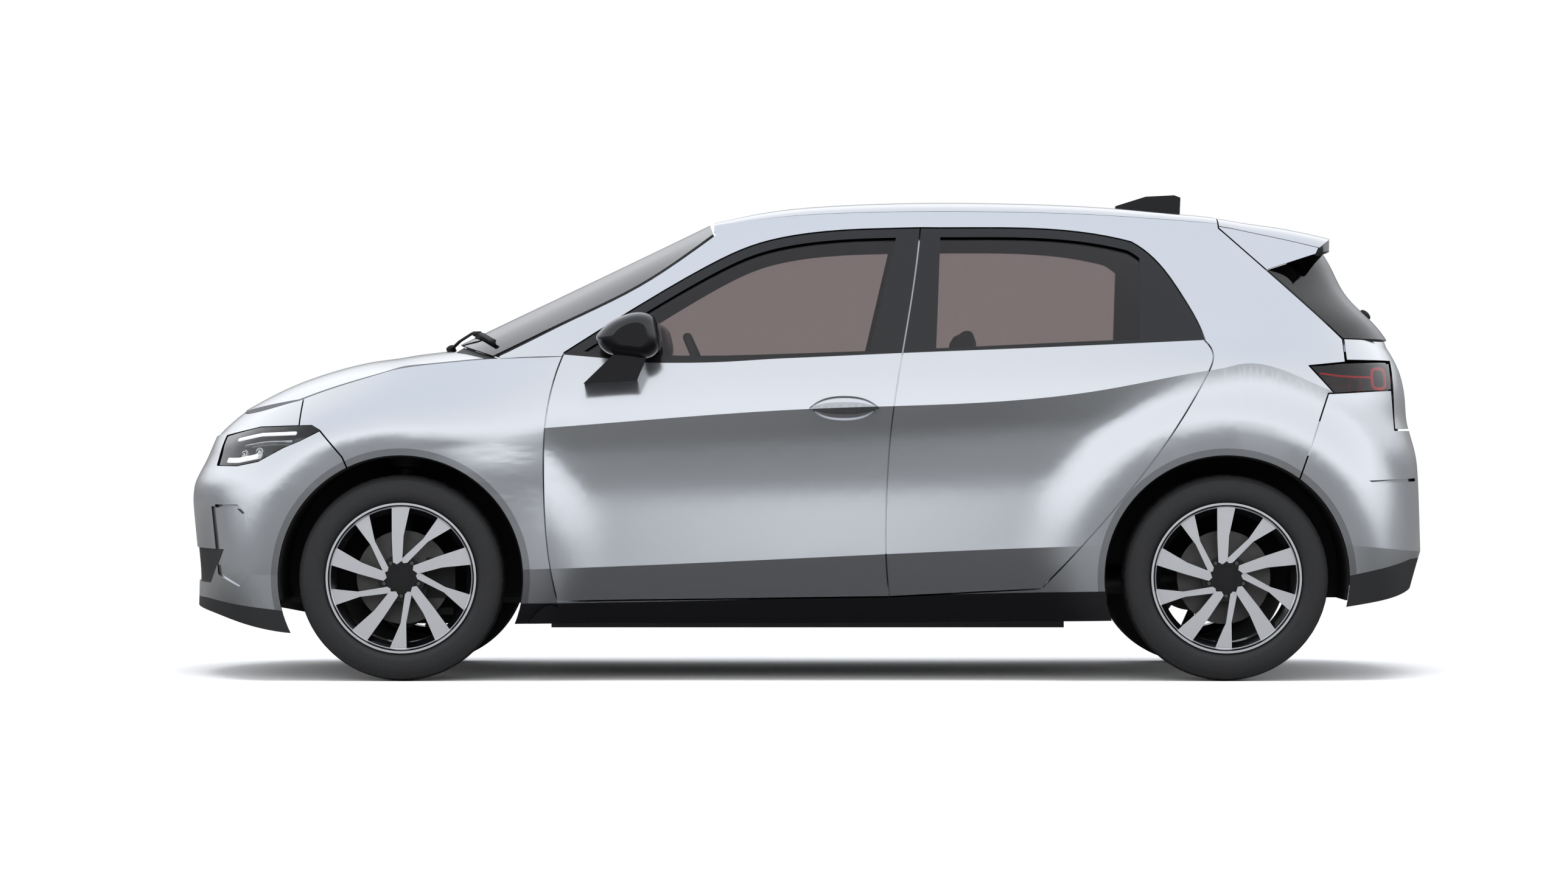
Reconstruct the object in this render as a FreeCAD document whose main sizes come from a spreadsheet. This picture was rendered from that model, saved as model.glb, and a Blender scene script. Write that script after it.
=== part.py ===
import FreeCAD, Part
import math
import os
from FreeCAD import Rotation, Vector

# A five-door hatchback car, front towards -X, left side towards -Y, standing on z = 0.
# Stations run along the car: -1 nose, 0 front axle, 1 rear axle, 2 tail.

SIZES = [
    ("wheelbase", 2600), ("front_overhang", 746), ("rear_overhang", 710),
    ("body_height", 1545), ("body_width", 1816), ("track", 1540),
    ("tyre_radius", 325), ("tyre_width", 212), ("tyre_bead_radius", 231), ("tyre_crown", 6),
    ("rim_lip_radius", 237), ("rim_width", 196), ("rim_wall", 9), ("rim_face_depth", 22),
    ("spoke_root_radius", 62), ("hub_cap_radius", 30), ("hub_radius", 74), ("hub_length", 60),
    ("disc_radius", 148), ("disc_thickness", 22), ("disc_offset", 42), ("spokes", 5),
    ("arch_gap", 62), ("arch_lip", 20), ("shut_gap", 5), ("seat_gap", 0.3),
    ("skin", 16), ("glass_thickness", 5), ("door_depth", 62), ("door_frame_depth", 34),
    ("pillar_depth", 112), ("rail_depth", 70), ("door_clearance", 9), ("door_flange", 42),
    ("floor_height", 236), ("floor_thickness", 24), ("sill_height", 178),
    ("battery_height", 76), ("battery_width", 1120), ("battery_length", 1640),
    ("wheelhouse_width", 250), ("liner_thickness", 5), ("steer_offset", 62),
    ("strut_radius", 25), ("spring_radius", 58), ("spring_wire", 12),
    ("stub_radius", 24), ("arm_thickness", 26), ("beam_radius", 38),
    ("seat_width", 510), ("seat_cushion", 150), ("seat_back", 110), ("seat_spacing", 700),
    ("steering_wheel_radius", 180), ("steering_rim_radius", 15),
    ("mirror_width", 200), ("plate_gap", 3), ("glass_rise", 14), ("window_frame", 30),
    ("glass_depth", 9), ("liner_room", 12), ("roof_depth", 30), ("lamp_depth", 60), ("spoiler_depth", 42),
    ("drive_length", 420), ("drive_width", 640), ("drive_height", 400), ("liner_foot", 255), ("blade_step", 4), ("bolt_circle", 57), ("bolt_radius", 9),
    ("stub_length", 92), ("fin_width", 42), ("striker_radius", 12),
    ("handle_stand", 24), ("handle_bar", 13), ("recess_depth", 20), ("panel_recess", 6), ("slot_depth", 13),
    ("spoiler_side", 30), ("bumper_shelf", 46),
]

doc = FreeCAD.newDocument("hatchback")
sheet = doc.addObject("Spreadsheet::Sheet", "sizes")
for row, (alias, value) in enumerate(SIZES, 1):
    sheet.set("A%d" % row, alias)
    sheet.set("B%d" % row, str(value))
    sheet.setAlias("B%d" % row, alias)
doc.recompute()


def size(alias):
    return float(sheet.get(alias))


wheelbase = size("wheelbase")
front_overhang = size("front_overhang")
rear_overhang = size("rear_overhang")
body_height = size("body_height")
half_width = size("body_width") / 2
length = front_overhang + wheelbase + rear_overhang
x_front = front_overhang - length / 2
x_rear = x_front + wheelbase
tyre_radius = size("tyre_radius")
arch_radius = tyre_radius + size("arch_gap")
gap = size("shut_gap")
seat_gap = size("seat_gap")
skin = size("skin")
overrun = size("body_width")


def station_x(station):
    if station < 0:
        return x_front + station * front_overhang
    if station > 1:
        return x_rear + (station - 1) * rear_overhang
    return x_front + station * wheelbase


def curve_through(points):
    """A natural cubic spline through (place, value) pairs, as a function."""
    place = [p[0] for p in points]
    value = [p[1] for p in points]
    n = len(points)
    span = [place[i + 1] - place[i] for i in range(n - 1)]
    bend = [0.0] * n
    lower, right = [0.0] * n, [0.0] * n
    for i in range(1, n - 1):
        rise = (value[i + 1] - value[i]) / span[i] - (value[i] - value[i - 1]) / span[i - 1]
        pivot = 2 * (span[i - 1] + span[i]) - span[i - 1] * lower[i - 1]
        lower[i] = span[i] / pivot
        right[i] = (6 * rise - span[i - 1] * right[i - 1]) / pivot
    for i in range(n - 2, 0, -1):
        bend[i] = right[i] - lower[i] * bend[i + 1]

    def at(x):
        x = min(max(x, place[0]), place[-1])
        i = max(k for k in range(n - 1) if place[k] <= x)
        a, b = (place[i + 1] - x) / span[i], (x - place[i]) / span[i]
        cubic = (a ** 3 - a) * bend[i] + (b ** 3 - b) * bend[i + 1]
        return a * value[i] + b * value[i + 1] + cubic * span[i] ** 2 / 6

    return at


# Heights of the body's lengthwise lines, as shares of the body height.
SILL_LINE_SHARES = [(-1, 0.150), (-0.75, 0.126), (-0.5, 0.100), (0, 0.114), (0.5, 0.118), (1, 0.128), (1.5, 0.150), (2, 0.19)]
CREASE_LINE_SHARES = [(-1, 0.214), (-0.5, 0.217), (0.17, 0.229), (0.85, 0.277), (1.2, 0.285), (2, 0.255)]
WAIST_LINE_SHARES = [(-1, 0.360), (0, 0.388), (0.5, 0.401), (1, 0.425), (1.5, 0.41), (2, 0.385)]
FLANK_LINE_SHARES = [(-1, 0.400), (0, 0.455), (0.5, 0.49), (1, 0.525), (1.5, 0.49), (2, 0.452)]
SHOULDER_LINE_SHARES = [
    (-1, 0.448), (-0.56, 0.480), (0, 0.500), (0.12, 0.510), (0.493, 0.555), (0.855, 0.595),
    (0.984, 0.635), (1.4, 0.605), (2, 0.520)]
BELT_LINE_SHARES = [
    (-1, 0.494), (-0.889, 0.498), (-0.767, 0.512), (-0.544, 0.555), (-0.311, 0.597), (-0.111, 0.626),
    (0.063, 0.652), (0.178, 0.665), (0.315, 0.656), (0.471, 0.659), (0.608, 0.667), (0.915, 0.690),
    (1.4, 0.699), (2, 0.697)]
RAIL_LINE_SHARES = [
    (-0.2, 0.885), (0.1, 0.905), (0.38, 0.922), (0.49, 0.933), (0.65, 0.936), (0.8, 0.934), (1, 0.919),
    (1.3, 0.885), (1.7, 0.84)]
ROOF_LINE_SHARES = [
    (0.36, 0.938), (0.442, 0.972), (0.512, 0.984), (0.617, 0.9915), (0.687, 0.992), (0.757, 0.990),
    (0.862, 0.982), (0.994, 0.962), (1.26, 0.943), (1.389, 0.933), (1.56, 0.915)]
BONNET_LINE_SHARES = [
    (-0.92, 0.495), (-0.85, 0.528), (-0.773, 0.549), (-0.683, 0.573), (-0.5, 0.615), (-0.3, 0.646),
    (-0.15, 0.661), (0, 0.672), (0.08, 0.6875), (0.13, 0.695)]

# Half widths on those lines, as shares of the half width.
SILL_WIDTH_SHARES = [(-1, 0.92), (0, 0.915), (0.5, 0.915), (1, 0.92), (1.5, 0.94), (2, 0.91)]
CREASE_WIDTH_SHARES = [(-1, 0.965), (0, 0.962), (0.5, 0.972), (1, 0.964), (2, 0.955)]
WAIST_WIDTH_SHARES = [(-1, 0.968), (0, 0.955), (0.5, 0.953), (1, 0.957), (2, 0.955)]
FLANK_WIDTH_SHARES = [(-1, 0.962), (0, 0.958), (0.5, 0.958), (1, 0.96), (2, 0.95)]
SHOULDER_WIDTH_SHARES = [(-1, 0.93), (0, 0.962), (0.5, 0.978), (0.85, 0.976), (1, 0.965), (1.5, 0.955), (2, 0.93)]
BELT_WIDTH_SHARES = [
    (-1, 0.70), (-0.434, 0.745), (-0.111, 0.79), (0.063, 0.835), (0.178, 0.90), (0.315, 0.928),
    (0.5, 0.936), (0.7, 0.936), (0.915, 0.925), (1.4, 0.875), (2, 0.80)]
RAIL_WIDTH_SHARES = [(-0.2, 0.68), (0.38, 0.706), (0.49, 0.716), (0.65, 0.72), (0.8, 0.706), (1, 0.665), (1.7, 0.58)]
LIP_WIDTH_SHARE = 0.997

# Where the nose and the tail end on each line, as stations: sill, crease, waist, flank, shoulder, belt.
NOSE_STATIONS = [-0.955, -0.950, -0.981, -0.974, -0.912, -0.880]
TAIL_STATIONS = [1.925, 1.972, 1.964, 1.955, 1.905, 1.80]

height_lines = [curve_through(t) for t in (
    SILL_LINE_SHARES, CREASE_LINE_SHARES, WAIST_LINE_SHARES, FLANK_LINE_SHARES,
    SHOULDER_LINE_SHARES, BELT_LINE_SHARES, RAIL_LINE_SHARES)]
width_lines = [curve_through(t) for t in (
    SILL_WIDTH_SHARES, CREASE_WIDTH_SHARES, WAIST_WIDTH_SHARES, FLANK_WIDTH_SHARES,
    SHOULDER_WIDTH_SHARES, BELT_WIDTH_SHARES, RAIL_WIDTH_SHARES)]
roof_line = curve_through(ROOF_LINE_SHARES)
bonnet_line = curve_through(BONNET_LINE_SHARES)
SILL, CREASE, WAIST, FLANK, SHOULDER, BELT, RAIL = range(7)

# From the roof rail to the roof's middle: share of the rail's half width, share of the rise, lean in degrees.
ROOF_ROUND_SHARES = [
    (1, 0, 22), (0.975, 0.35, 35), (0.925, 0.62, 55), (0.83, 0.80, 74), (0.6, 0.92, 84), (0.3, 0.985, 88), (0, 1, 90)]


def smooth_step(share):
    share = min(max(share, 0.0), 1.0)
    return share * share * (3 - 2 * share)


def end_between(station, low, share):
    """How much of the full width is left where the nose or the tail rounds off, a share of the way above a line."""
    if 0 <= station <= 1:
        return 1.0
    ends, zero, power = (NOSE_STATIONS, 0, 4) if station < 0 else (TAIL_STATIONS, 1, 4.5)
    if station > 1 and low == SHOULDER:
        share = share ** 3
    end = mix(ends[low], ends[low + 1], share) if share else ends[low]
    reach = min(max((station - zero) / (end - zero), 0.0), 1.0)
    return math.sqrt(1 - reach ** power)


def end_share(station, line):
    return end_between(station, line, 0)


def mix(a, b, share):
    return a + (b - a) * share


def flare(x, y, z, end):
    """The half width y pushed out towards the arch lip near each wheel."""
    lip = LIP_WIDTH_SHARE * half_width * math.sqrt(end)
    for axle in (x_front, x_rear):
        away = math.hypot(x - axle, z - tyre_radius) - arch_radius
        share = 1 - smooth_step((away - 0.24 * arch_radius) / (0.42 * arch_radius))
        if lip > y:
            y = mix(y, lip, share)
    return y


def side_point(station, level, depth=0.0, with_flare=True):
    """A point of the left side's skin, or depth below it. Levels 0 to 5 are the lines up to the belt, 6 the rail, 7 the roof edge."""
    x = station_x(station)
    belt_z = height_lines[BELT](station) * body_height
    rail_z = height_lines[RAIL](station) * body_height
    belt_y = width_lines[BELT](station) * half_width * end_share(station, BELT)
    rail_y = width_lines[RAIL](station) * half_width
    lean = 0.0
    if level <= SHOULDER:
        low = min(int(level), SHOULDER - 1)
        share = level - low
        z = mix(height_lines[low](station), height_lines[low + 1](station), share) * body_height
        end = end_between(station, low, share)
        y = mix(width_lines[low](station), width_lines[low + 1](station), share) * half_width * end
    elif level <= BELT:
        share = level - SHOULDER
        z = mix(height_lines[SHOULDER](station) * body_height, belt_z, share)
        top_width = width_lines[SHOULDER](station) * half_width
        belt_width = width_lines[BELT](station) * half_width
        power = mix(2.2, 1.3, smooth_step((station - 0.1) / 0.15))
        y = (top_width - (top_width - belt_width) * share ** power) * end_between(station, SHOULDER, share)
        end = end_between(station, SHOULDER, share)
        lean = 40 * share * (1 - smooth_step((station - 0.1) / 0.15))
    elif level <= RAIL:
        share = level - BELT
        z = mix(belt_z, rail_z, share)
        y = mix(belt_y, rail_y, share) + 0.05 * (rail_z - belt_z) * 4 * share * (1 - share) * 0.6
        end = 1.0
        lean = 22 * share
    else:
        place = (level - RAIL) * (len(ROOF_ROUND_SHARES) - 1)
        k = min(int(place), len(ROOF_ROUND_SHARES) - 2)
        share = place - k
        here, there = ROOF_ROUND_SHARES[k], ROOF_ROUND_SHARES[k + 1]
        y = mix(here[0], there[0], share) * rail_y
        z = rail_z + mix(here[1], there[1], share) * (roof_line(station) * body_height - rail_z)
        lean = mix(here[2], there[2], share)
    if level <= BELT and with_flare:
        y = flare(x, y, z, end)
    y -= depth * math.cos(math.radians(lean))
    z -= depth * math.sin(math.radians(lean))
    return Vector(x, -y, z)


def spline_face(poles):
    """A cubic surface that follows a net of points, straight across where the net has two rows."""
    def knots(count):
        degree = min(3, count - 1)
        inner = count - degree - 1
        return degree, list(range(inner + 2)), [degree + 1] + [1] * inner + [degree + 1]
    u_degree, u_knots, u_mults = knots(len(poles))
    v_degree, v_knots, v_mults = knots(len(poles[0]))
    surface = Part.BSplineSurface()
    surface.buildFromPolesMultsKnots(
        poles, u_mults, v_mults, u_knots, v_knots, False, False, u_degree, v_degree)
    return surface.toShape()


def closed(faces):
    shell = Part.makeShell(faces)
    shell.sewShape()
    solid = Part.makeSolid(shell)
    if solid.Volume < 0:
        solid.reverse()
    return solid


def column(net, index):
    return [line[index] for line in net]


def slab(strips):
    """The closed solid between outer and inner nets. Each strip meets the next in a crease."""
    faces = []
    for outer, inner in strips:
        faces += [spline_face(outer), spline_face(inner)]
        faces += [spline_face([outer[0], inner[0]]), spline_face([outer[-1], inner[-1]])]
    faces.append(spline_face([column(strips[0][0], 0), column(strips[0][1], 0)]))
    faces.append(spline_face([column(strips[-1][0], -1), column(strips[-1][1], -1)]))
    return closed(faces)


def steps(first, last, count):
    return [mix(first, last, k / count) for k in range(count + 1)]


def side_slab(stations, level_strips, outer_depth, inner_depth, with_flare=True):
    """A slab of the left side between two depths, each a function of the level."""
    def net(levels, depth):
        return [[side_point(s, v, depth(v), with_flare) for v in levels] for s in stations]
    return slab([(net(levels, outer_depth), net(levels, inner_depth)) for levels in level_strips])


def run(points):
    """One smooth stretch of an outline in the side view."""
    points = [Vector(x, 0, z) for x, z in points]
    if len(points) == 2:
        return Part.LineSegment(*points).toShape()
    spline = Part.BSplineCurve()
    spline.interpolate(points)
    return spline.toShape()


def outline(*runs):
    """A flat face in the side view from stretches that follow each other."""
    edges = [run(points) for points in runs]
    ends = [(points[0], points[-1]) for points in runs]
    for k, (start, end) in enumerate(ends):
        following = ends[(k + 1) % len(ends)][0]
        if math.dist(end, following) > 1e-6:
            edges.append(run([end, following]))
    return Part.Face(Part.Wire(Part.__sortEdges__(edges)))


def grown(face, distance):
    """The outline moved out by a distance, with a chord where a corner's arc is short."""
    moved = face.makeOffset2D(distance)
    if (moved.Area > face.Area) != (distance > 0):
        moved = face.makeOffset2D(-distance)
    edges = []
    for edge in moved.OuterWire.OrderedEdges:
        if edge.Length < gap:
            edge = Part.makeLine(edge.valueAt(edge.FirstParameter), edge.valueAt(edge.LastParameter))
        edges.append(edge)
    return Part.Face(Part.Wire(Part.__sortEdges__(edges))).toNurbs()


def left_prism(face, inner=0.0):
    """An outline carried sideways through the left half of the car, from the middle out."""
    moved = face.copy()
    moved.translate(Vector(0, -inner, 0))
    return moved.extrude(Vector(0, -overrun, 0)).toNurbs()


def wide_prism(face):
    moved = face.copy()
    moved.translate(Vector(0, -overrun, 0))
    return moved.extrude(Vector(0, 2 * overrun, 0)).toNurbs()


def mirrored(shape):
    return shape.mirror(Vector(0, 0, 0), Vector(0, 1, 0))


def at(station, height_share):
    return (station_x(station), height_share * body_height)


# Panel outlines in the side view, at stations and shares of the body height.
FRONT_SHUT = [at(0.197, 0.670), at(0.175, 0.526), at(0.1731, 0.397), at(0.178, 0.269), at(0.190, 0.163)]
MIDDLE_SHUT = [at(0.592, 0.172), at(0.588, 0.237), at(0.588, 0.3655), at(0.5945, 0.526), at(0.607, 0.6625), at(0.631, 0.929)]
REAR_SHUT = [at(0.975, 0.694), at(0.984, 0.664), at(0.976, 0.624), at(0.9225, 0.478), at(0.80, 0.232), at(0.775, 0.188)]
WINDOW_TOP_FRONT = [
    at(0.197, 0.670), at(0.235, 0.711), at(0.311, 0.791), at(0.3685, 0.847), at(0.426, 0.892), at(0.483, 0.9145),
    at(0.559, 0.9258), at(0.631, 0.929)]
WINDOW_TOP_REAR = [at(0.631, 0.929), at(0.75, 0.9285), at(0.846, 0.9155), at(0.889, 0.9)]
WINDOW_END = [at(0.889, 0.9), at(0.912, 0.872), at(0.9506, 0.783), at(0.971, 0.715), at(0.975, 0.694)]
WINDSCREEN_EDGE = [at(0.112, 0.6645), at(0.2, 0.738), at(0.3, 0.8235), at(0.3785, 0.9185)]
HATCH_EDGE = [at(0.998, 0.93), at(1.203, 0.842), at(1.535, 0.699)]


def front_door_outline():
    return outline(FRONT_SHUT, [FRONT_SHUT[-1], MIDDLE_SHUT[0]], MIDDLE_SHUT, WINDOW_TOP_FRONT[::-1])


def rear_door_outline():
    lower = [REAR_SHUT[-1], MIDDLE_SHUT[0]]
    return outline(MIDDLE_SHUT, WINDOW_TOP_REAR, WINDOW_END, REAR_SHUT, lower)


def door_depths(level):
    return mix(size("door_depth"), size("door_frame_depth"), smooth_step(level - BELT + 0.35))


def wall_depths(level):
    return mix(size("pillar_depth"), size("rail_depth"), smooth_step(level - BELT + 0.5))


def even_depth(depth):
    return lambda level: depth


def bonnet_point(x, y):
    """A point of the bonnet's surface, crowned between the two belt lines."""
    station = (x - x_front) / (front_overhang if x < x_front else wheelbase)
    centre_z = bonnet_line(station) * body_height
    edge_z = height_lines[BELT](station) * body_height
    edge_y = width_lines[BELT](station) * half_width * end_share(station, BELT)
    share = min(abs(y) / max(edge_y, 1e-6), 1.0)
    return Vector(x, y, centre_z - (centre_z - edge_z) * share ** 2.3)


def wrap_point(start, level, reach, depth, with_flare=True):
    """A point of a bumper's wrap: reach 0 at the start station, 1 on the centre line, 2 at the other side."""
    side = 1 if reach <= 1 else -1
    reach = min(reach, 2 - reach)
    ends = NOSE_STATIONS if start < 0.5 else TAIL_STATIONS

    def flat(share):
        low = min(int(level), BELT - 1)
        part = level - low
        bow = part ** 3 if low == SHOULDER and start > 0.5 else part
        station = mix(start, mix(ends[low], ends[low + 1], bow), share)
        x = station_x(station)
        z = mix(height_lines[low](station), height_lines[low + 1](station), part) * body_height
        left = end_between(station, low, part)
        if level > SHOULDER:
            part = part ** mix(2.2, 1.3, smooth_step((station - 0.1) / 0.15))
        width = mix(width_lines[low](station), width_lines[low + 1](station), part)
        y = width * half_width * left
        if with_flare:
            y = flare(x, y, z, left)
        return Vector(x, -y, z)

    here = flat(reach)
    inward = Vector(1 if start < 0.5 else -1, 0, 0)
    if reach < 0.9999:
        tangent = flat(min(reach + 0.002, 1.0)) - flat(max(reach - 0.002, 0.0))
        inward = Vector(-tangent.y, tangent.x, 0)
        if inward.y < 0:
            inward = inward * -1
        inward.normalize()
    here = here + inward * depth
    return Vector(here.x, here.y * side, here.z)


def both_sides(values):
    return values + [2 - v for v in values[-2::-1]]


WRAP_REACH_SHARES = [
    0, 0.07, 0.14, 0.21, 0.28, 0.35, 0.42, 0.49, 0.56, 0.62, 0.68, 0.74, 0.8, 0.85, 0.89, 0.925, 0.955, 0.975, 0.99,
    0.9975, 1]
BONNET_NOSE = -0.745
BONNET_CORNER = -0.434


def wrap_net(start, levels, depth):
    return [[wrap_point(start, v, r, depth) for v in levels] for r in both_sides(WRAP_REACH_SHARES)]


def nose_top_net(start, depth):
    """The closed nose above the belt line, up to the bonnet's front edge."""
    net = []
    for reach in both_sides(WRAP_REACH_SHARES):
        rim = wrap_point(start, BELT, reach, depth)
        corner = wrap_point(start, BELT, 0, 0)
        share = min(abs(rim.y / corner.y), 1.0)
        back_x = mix(station_x(BONNET_NOSE), station_x(BONNET_CORNER), share ** 3)
        top = bonnet_point(max(back_x, rim.x + depth), rim.y * 0.97)
        top.z -= depth
        middle = (rim + top) * 0.5
        middle.z += (top.z - rim.z) * 0.16
        net.append([rim, middle, top])
    return net


parts = {}


def keep(name, *shapes):
    """Adds one named piece of the car to the document."""
    feature = doc.addObject("Part::Feature", name)
    feature.Label = name
    feature.Shape = shapes[0] if len(shapes) == 1 else Part.makeCompound(list(shapes))
    parts[name] = feature
    sound = all(shape.isValid() for shape in shapes)
    print(name, [len(shape.Solids) for shape in shapes], "" if sound else "NOT VALID")
    return feature


DOOR_LEVELS = [
    steps(SILL, CREASE, 3), steps(CREASE, SHOULDER, 10), steps(SHOULDER, BELT, 4), steps(BELT, RAIL + 0.12, 6)]
half_gap = gap / 2
front_outline = front_door_outline()
rear_outline = rear_door_outline()


def side_y(x, z):
    """How far out the side's skin is at a place in the side view."""
    station = (x - x_front) / wheelbase if x < x_rear else 1 + (x - x_rear) / rear_overhang
    if x < x_front:
        station = (x - x_front) / front_overhang
    low, high = 0.0, 6.99
    for _ in range(30):
        middle = (low + high) / 2
        if side_point(station, middle).z < z:
            low = middle
        else:
            high = middle
    return -side_point(station, low).y


def cross_net(widths, count, point):
    """A net across the car: widths are shares of the half width, point(width, share) gives its poles."""
    return [[point(w, k / count) for k in range(count + 1)] for w in widths]


def polygon(*points):
    return Part.Face(Part.makePolygon([Vector(x, 0, z) for x, z in points + points[:1]]))


def box(x, y, z):
    """A box from its three (low, high) pairs."""
    corner = Vector(x[0], y[0], z[0])
    return Part.makeBox(x[1] - x[0], y[1] - y[0], z[1] - z[0], corner)


def joined(*shapes):
    return shapes[0].multiFuse(list(shapes[1:]))


def arch_space(axle, radius, inner):
    return Part.makeCylinder(radius, overrun - inner, Vector(axle, -overrun, tyre_radius), Vector(0, 1, 0))


front_arch = arch_space(x_front, arch_radius, size("wheelhouse_width"))
rear_arch = arch_space(x_rear, arch_radius, size("wheelhouse_width"))
far_left, far_right = -length, length
ceiling = 2 * body_height
LAMP_LINE = [at(-0.812, 0.440), at(-0.711, 0.4395), at(-0.611, 0.4487), at(-0.495, 0.4777),
             at(-0.4276, 0.4906), at(-0.342, 0.5113), at(-0.378, 0.521), at(-0.611, 0.5178), at(-0.787, 0.5003)]
WING_FRONT = [at(-0.434, 0.70), at(-0.434, 0.516), at(-0.342, 0.5113), at(-0.245, 0.457), at(-0.1, 0.3), at(-0.1, 0)]
TAIL_LAMP = [at(1.370, 0.6434), at(1.773, 0.6511), at(1.773, 0.5948), at(1.483, 0.587)]
QUARTER_REAR = [at(1.535, 0.699), at(1.54, 0.651), at(1.370, 0.6434), at(1.483, 0.587), at(1.455, 0.587), at(1.325, 0.418),
                at(1.2, 0.3), at(1.2, 0)]
TAILGATE_EDGE = [at(1.78, 0.70), at(1.78, 0.514), at(2.2, 0.514), at(2.2, 0.70)]
lamp_face = polygon(*LAMP_LINE)
tail_lamp_face = polygon(*TAIL_LAMP)
nose_face = polygon(*(WING_FRONT + [(far_left, 0), (far_left, body_height)]))
belt_run = [(station_x(s), height_lines[BELT](s) * body_height) for s in steps(0.1, 1.5, 28)]
glass_run = [(x, z + size("glass_rise")) for x, z in belt_run]
above_belt = outline(glass_run, [glass_run[-1], (belt_run[-1][0], ceiling)],
                     [(belt_run[-1][0], ceiling), (belt_run[0][0], ceiling)], [(belt_run[0][0], ceiling), glass_run[0]])
FRONT_GLASS = [at(0.0, 0.5), at(0.5695, 0.5), at(0.5695, 0.677), at(0.6035, 0.9258), at(0.6035, 1.1), at(0.0, 1.1)]
STRIKERS = [at(0.5835, 0.42), at(0.967, 0.624)]
REAR_GLASS = [at(0.6485, 0.5), at(0.6485, 0.677), at(0.6558, 0.93), at(0.6558, 1.1), at(0.8985, 1.1), at(0.8985, 0.5)]

# The front handle: a bar on two feet across a round recess.
HANDLE_MIDDLE = at(0.537, 0.5565)
HANDLE_LENGTH_SHARE, HANDLE_HEIGHT_SHARE = 0.0427, 0.0125
handle_stations = steps(0.47, 0.605, 8)
handle_levels = [steps(SHOULDER - 0.7, SHOULDER, 5), steps(SHOULDER, SHOULDER + 0.6, 4)]


def handle_oval(length_share, height_share):
    """A pointed oval about the handle's middle."""
    x, z = HANDLE_MIDDLE
    reach, rise = length_share * wheelbase, height_share * body_height
    upper = [(x - reach, z), (x - reach * 0.55, z + rise * 0.8), (x, z + rise), (x + reach * 0.55, z + rise * 0.8), (x + reach, z)]
    lower = [(px, 2 * z - pz) for px, pz in upper[::-1]]
    return outline(upper, lower)


def door_layer(outer, inner):
    return side_slab(handle_stations, handle_levels, even_depth(outer), even_depth(inner))


stand = size("handle_stand")
recess_tool = door_layer(-gap, size("recess_depth")).common(
    left_prism(handle_oval(HANDLE_LENGTH_SHARE, 2 * HANDLE_HEIGHT_SHARE)))
handle_bar = door_layer(-stand, size("handle_bar") - stand).common(
    left_prism(handle_oval(HANDLE_LENGTH_SHARE * 0.98, HANDLE_HEIGHT_SHARE)))
handle = handle_bar
for side in (-1, 1):
    foot_x = HANDLE_MIDDLE[0] + side * 0.78 * HANDLE_LENGTH_SHARE * wheelbase
    foot_half = 0.6 * HANDLE_HEIGHT_SHARE * body_height
    foot_box = polygon(*[(foot_x + dx * foot_half, HANDLE_MIDDLE[1] + dz * foot_half * 0.8)
                         for dx, dz in ((-1, -1), (1, -1), (1, 1), (-1, 1))])
    handle = handle.fuse(door_layer(gap - stand, size("recess_depth") - seat_gap).common(left_prism(foot_box)))
keep("handle_left", handle)
keep("handle_right", mirrored(handle))

# Doors, with their window cut through.
door_slabs = {}
for name, first, last, face, cut in (
        ("front", 0.13, 0.66, front_outline, FRONT_GLASS), ("rear", 0.55, 1.03, rear_outline, REAR_GLASS)):
    stations = steps(first, last, 22)
    blank = side_slab(stations, DOOR_LEVELS, even_depth(0), door_depths)
    panel = blank.common(left_prism(grown(face, -half_gap)))
    window = left_prism(grown(face, -size("window_frame"))).common(left_prism(above_belt))
    window = window.common(left_prism(polygon(*cut)))
    pane_levels = [steps(BELT - 0.2, RAIL + 0.12, 6)]
    inner = size("glass_depth")
    pane = side_slab(stations, pane_levels, even_depth(inner), even_depth(inner + size("glass_thickness")))
    panel = panel.cut(window)
    if name == "front":
        panel = panel.cut(recess_tool)
    else:
        # The frame's trailing edge is stepped, so that it swings out past the pillar's skin.
        inner_layer = side_slab(
            steps(0.82, 1.03, 8), [steps(BELT - 0.1, RAIL + 0.12, 6)], even_depth(0.75 * skin), even_depth(2 * size("door_depth")))
        panel = panel.cut(inner_layer.cut(left_prism(grown(face, -half_gap - gap))))
    pane = pane.common(window)
    door_slabs[name] = (panel, pane)
    for side, turn in (("left", lambda shape: shape), ("right", mirrored)):
        keep("door_%s_%s" % (name, side), turn(panel))
        keep("glass_%s_%s" % (name, side), turn(pane))

# Body sides: sill, pillars, cant rail and rear quarter in one.
BODY_LEVELS = DOOR_LEVELS[:3] + [steps(BELT, RAIL + 0.25, 7)]
body_stations = steps(0.08, 1.0, 24) + steps(1.04, 1.62, 14)
body_side = side_slab(body_stations, BODY_LEVELS, even_depth(0), wall_depths)
pocket_levels = DOOR_LEVELS[:3] + [steps(BELT, RAIL + 0.16, 6)]


def pocket_depths(level):
    return door_depths(level) + size("door_clearance")


room = side_slab(steps(0.10, 1.06, 36), pocket_levels, even_depth(-size("door_depth")), pocket_depths)
door_faces = (front_outline, rear_outline)
body_side = body_side.cut([room.common(left_prism(grown(face, half_gap))) for face in door_faces])
body_side = body_side.cut([left_prism(grown(face, -size("door_flange"))) for face in door_faces])
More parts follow.
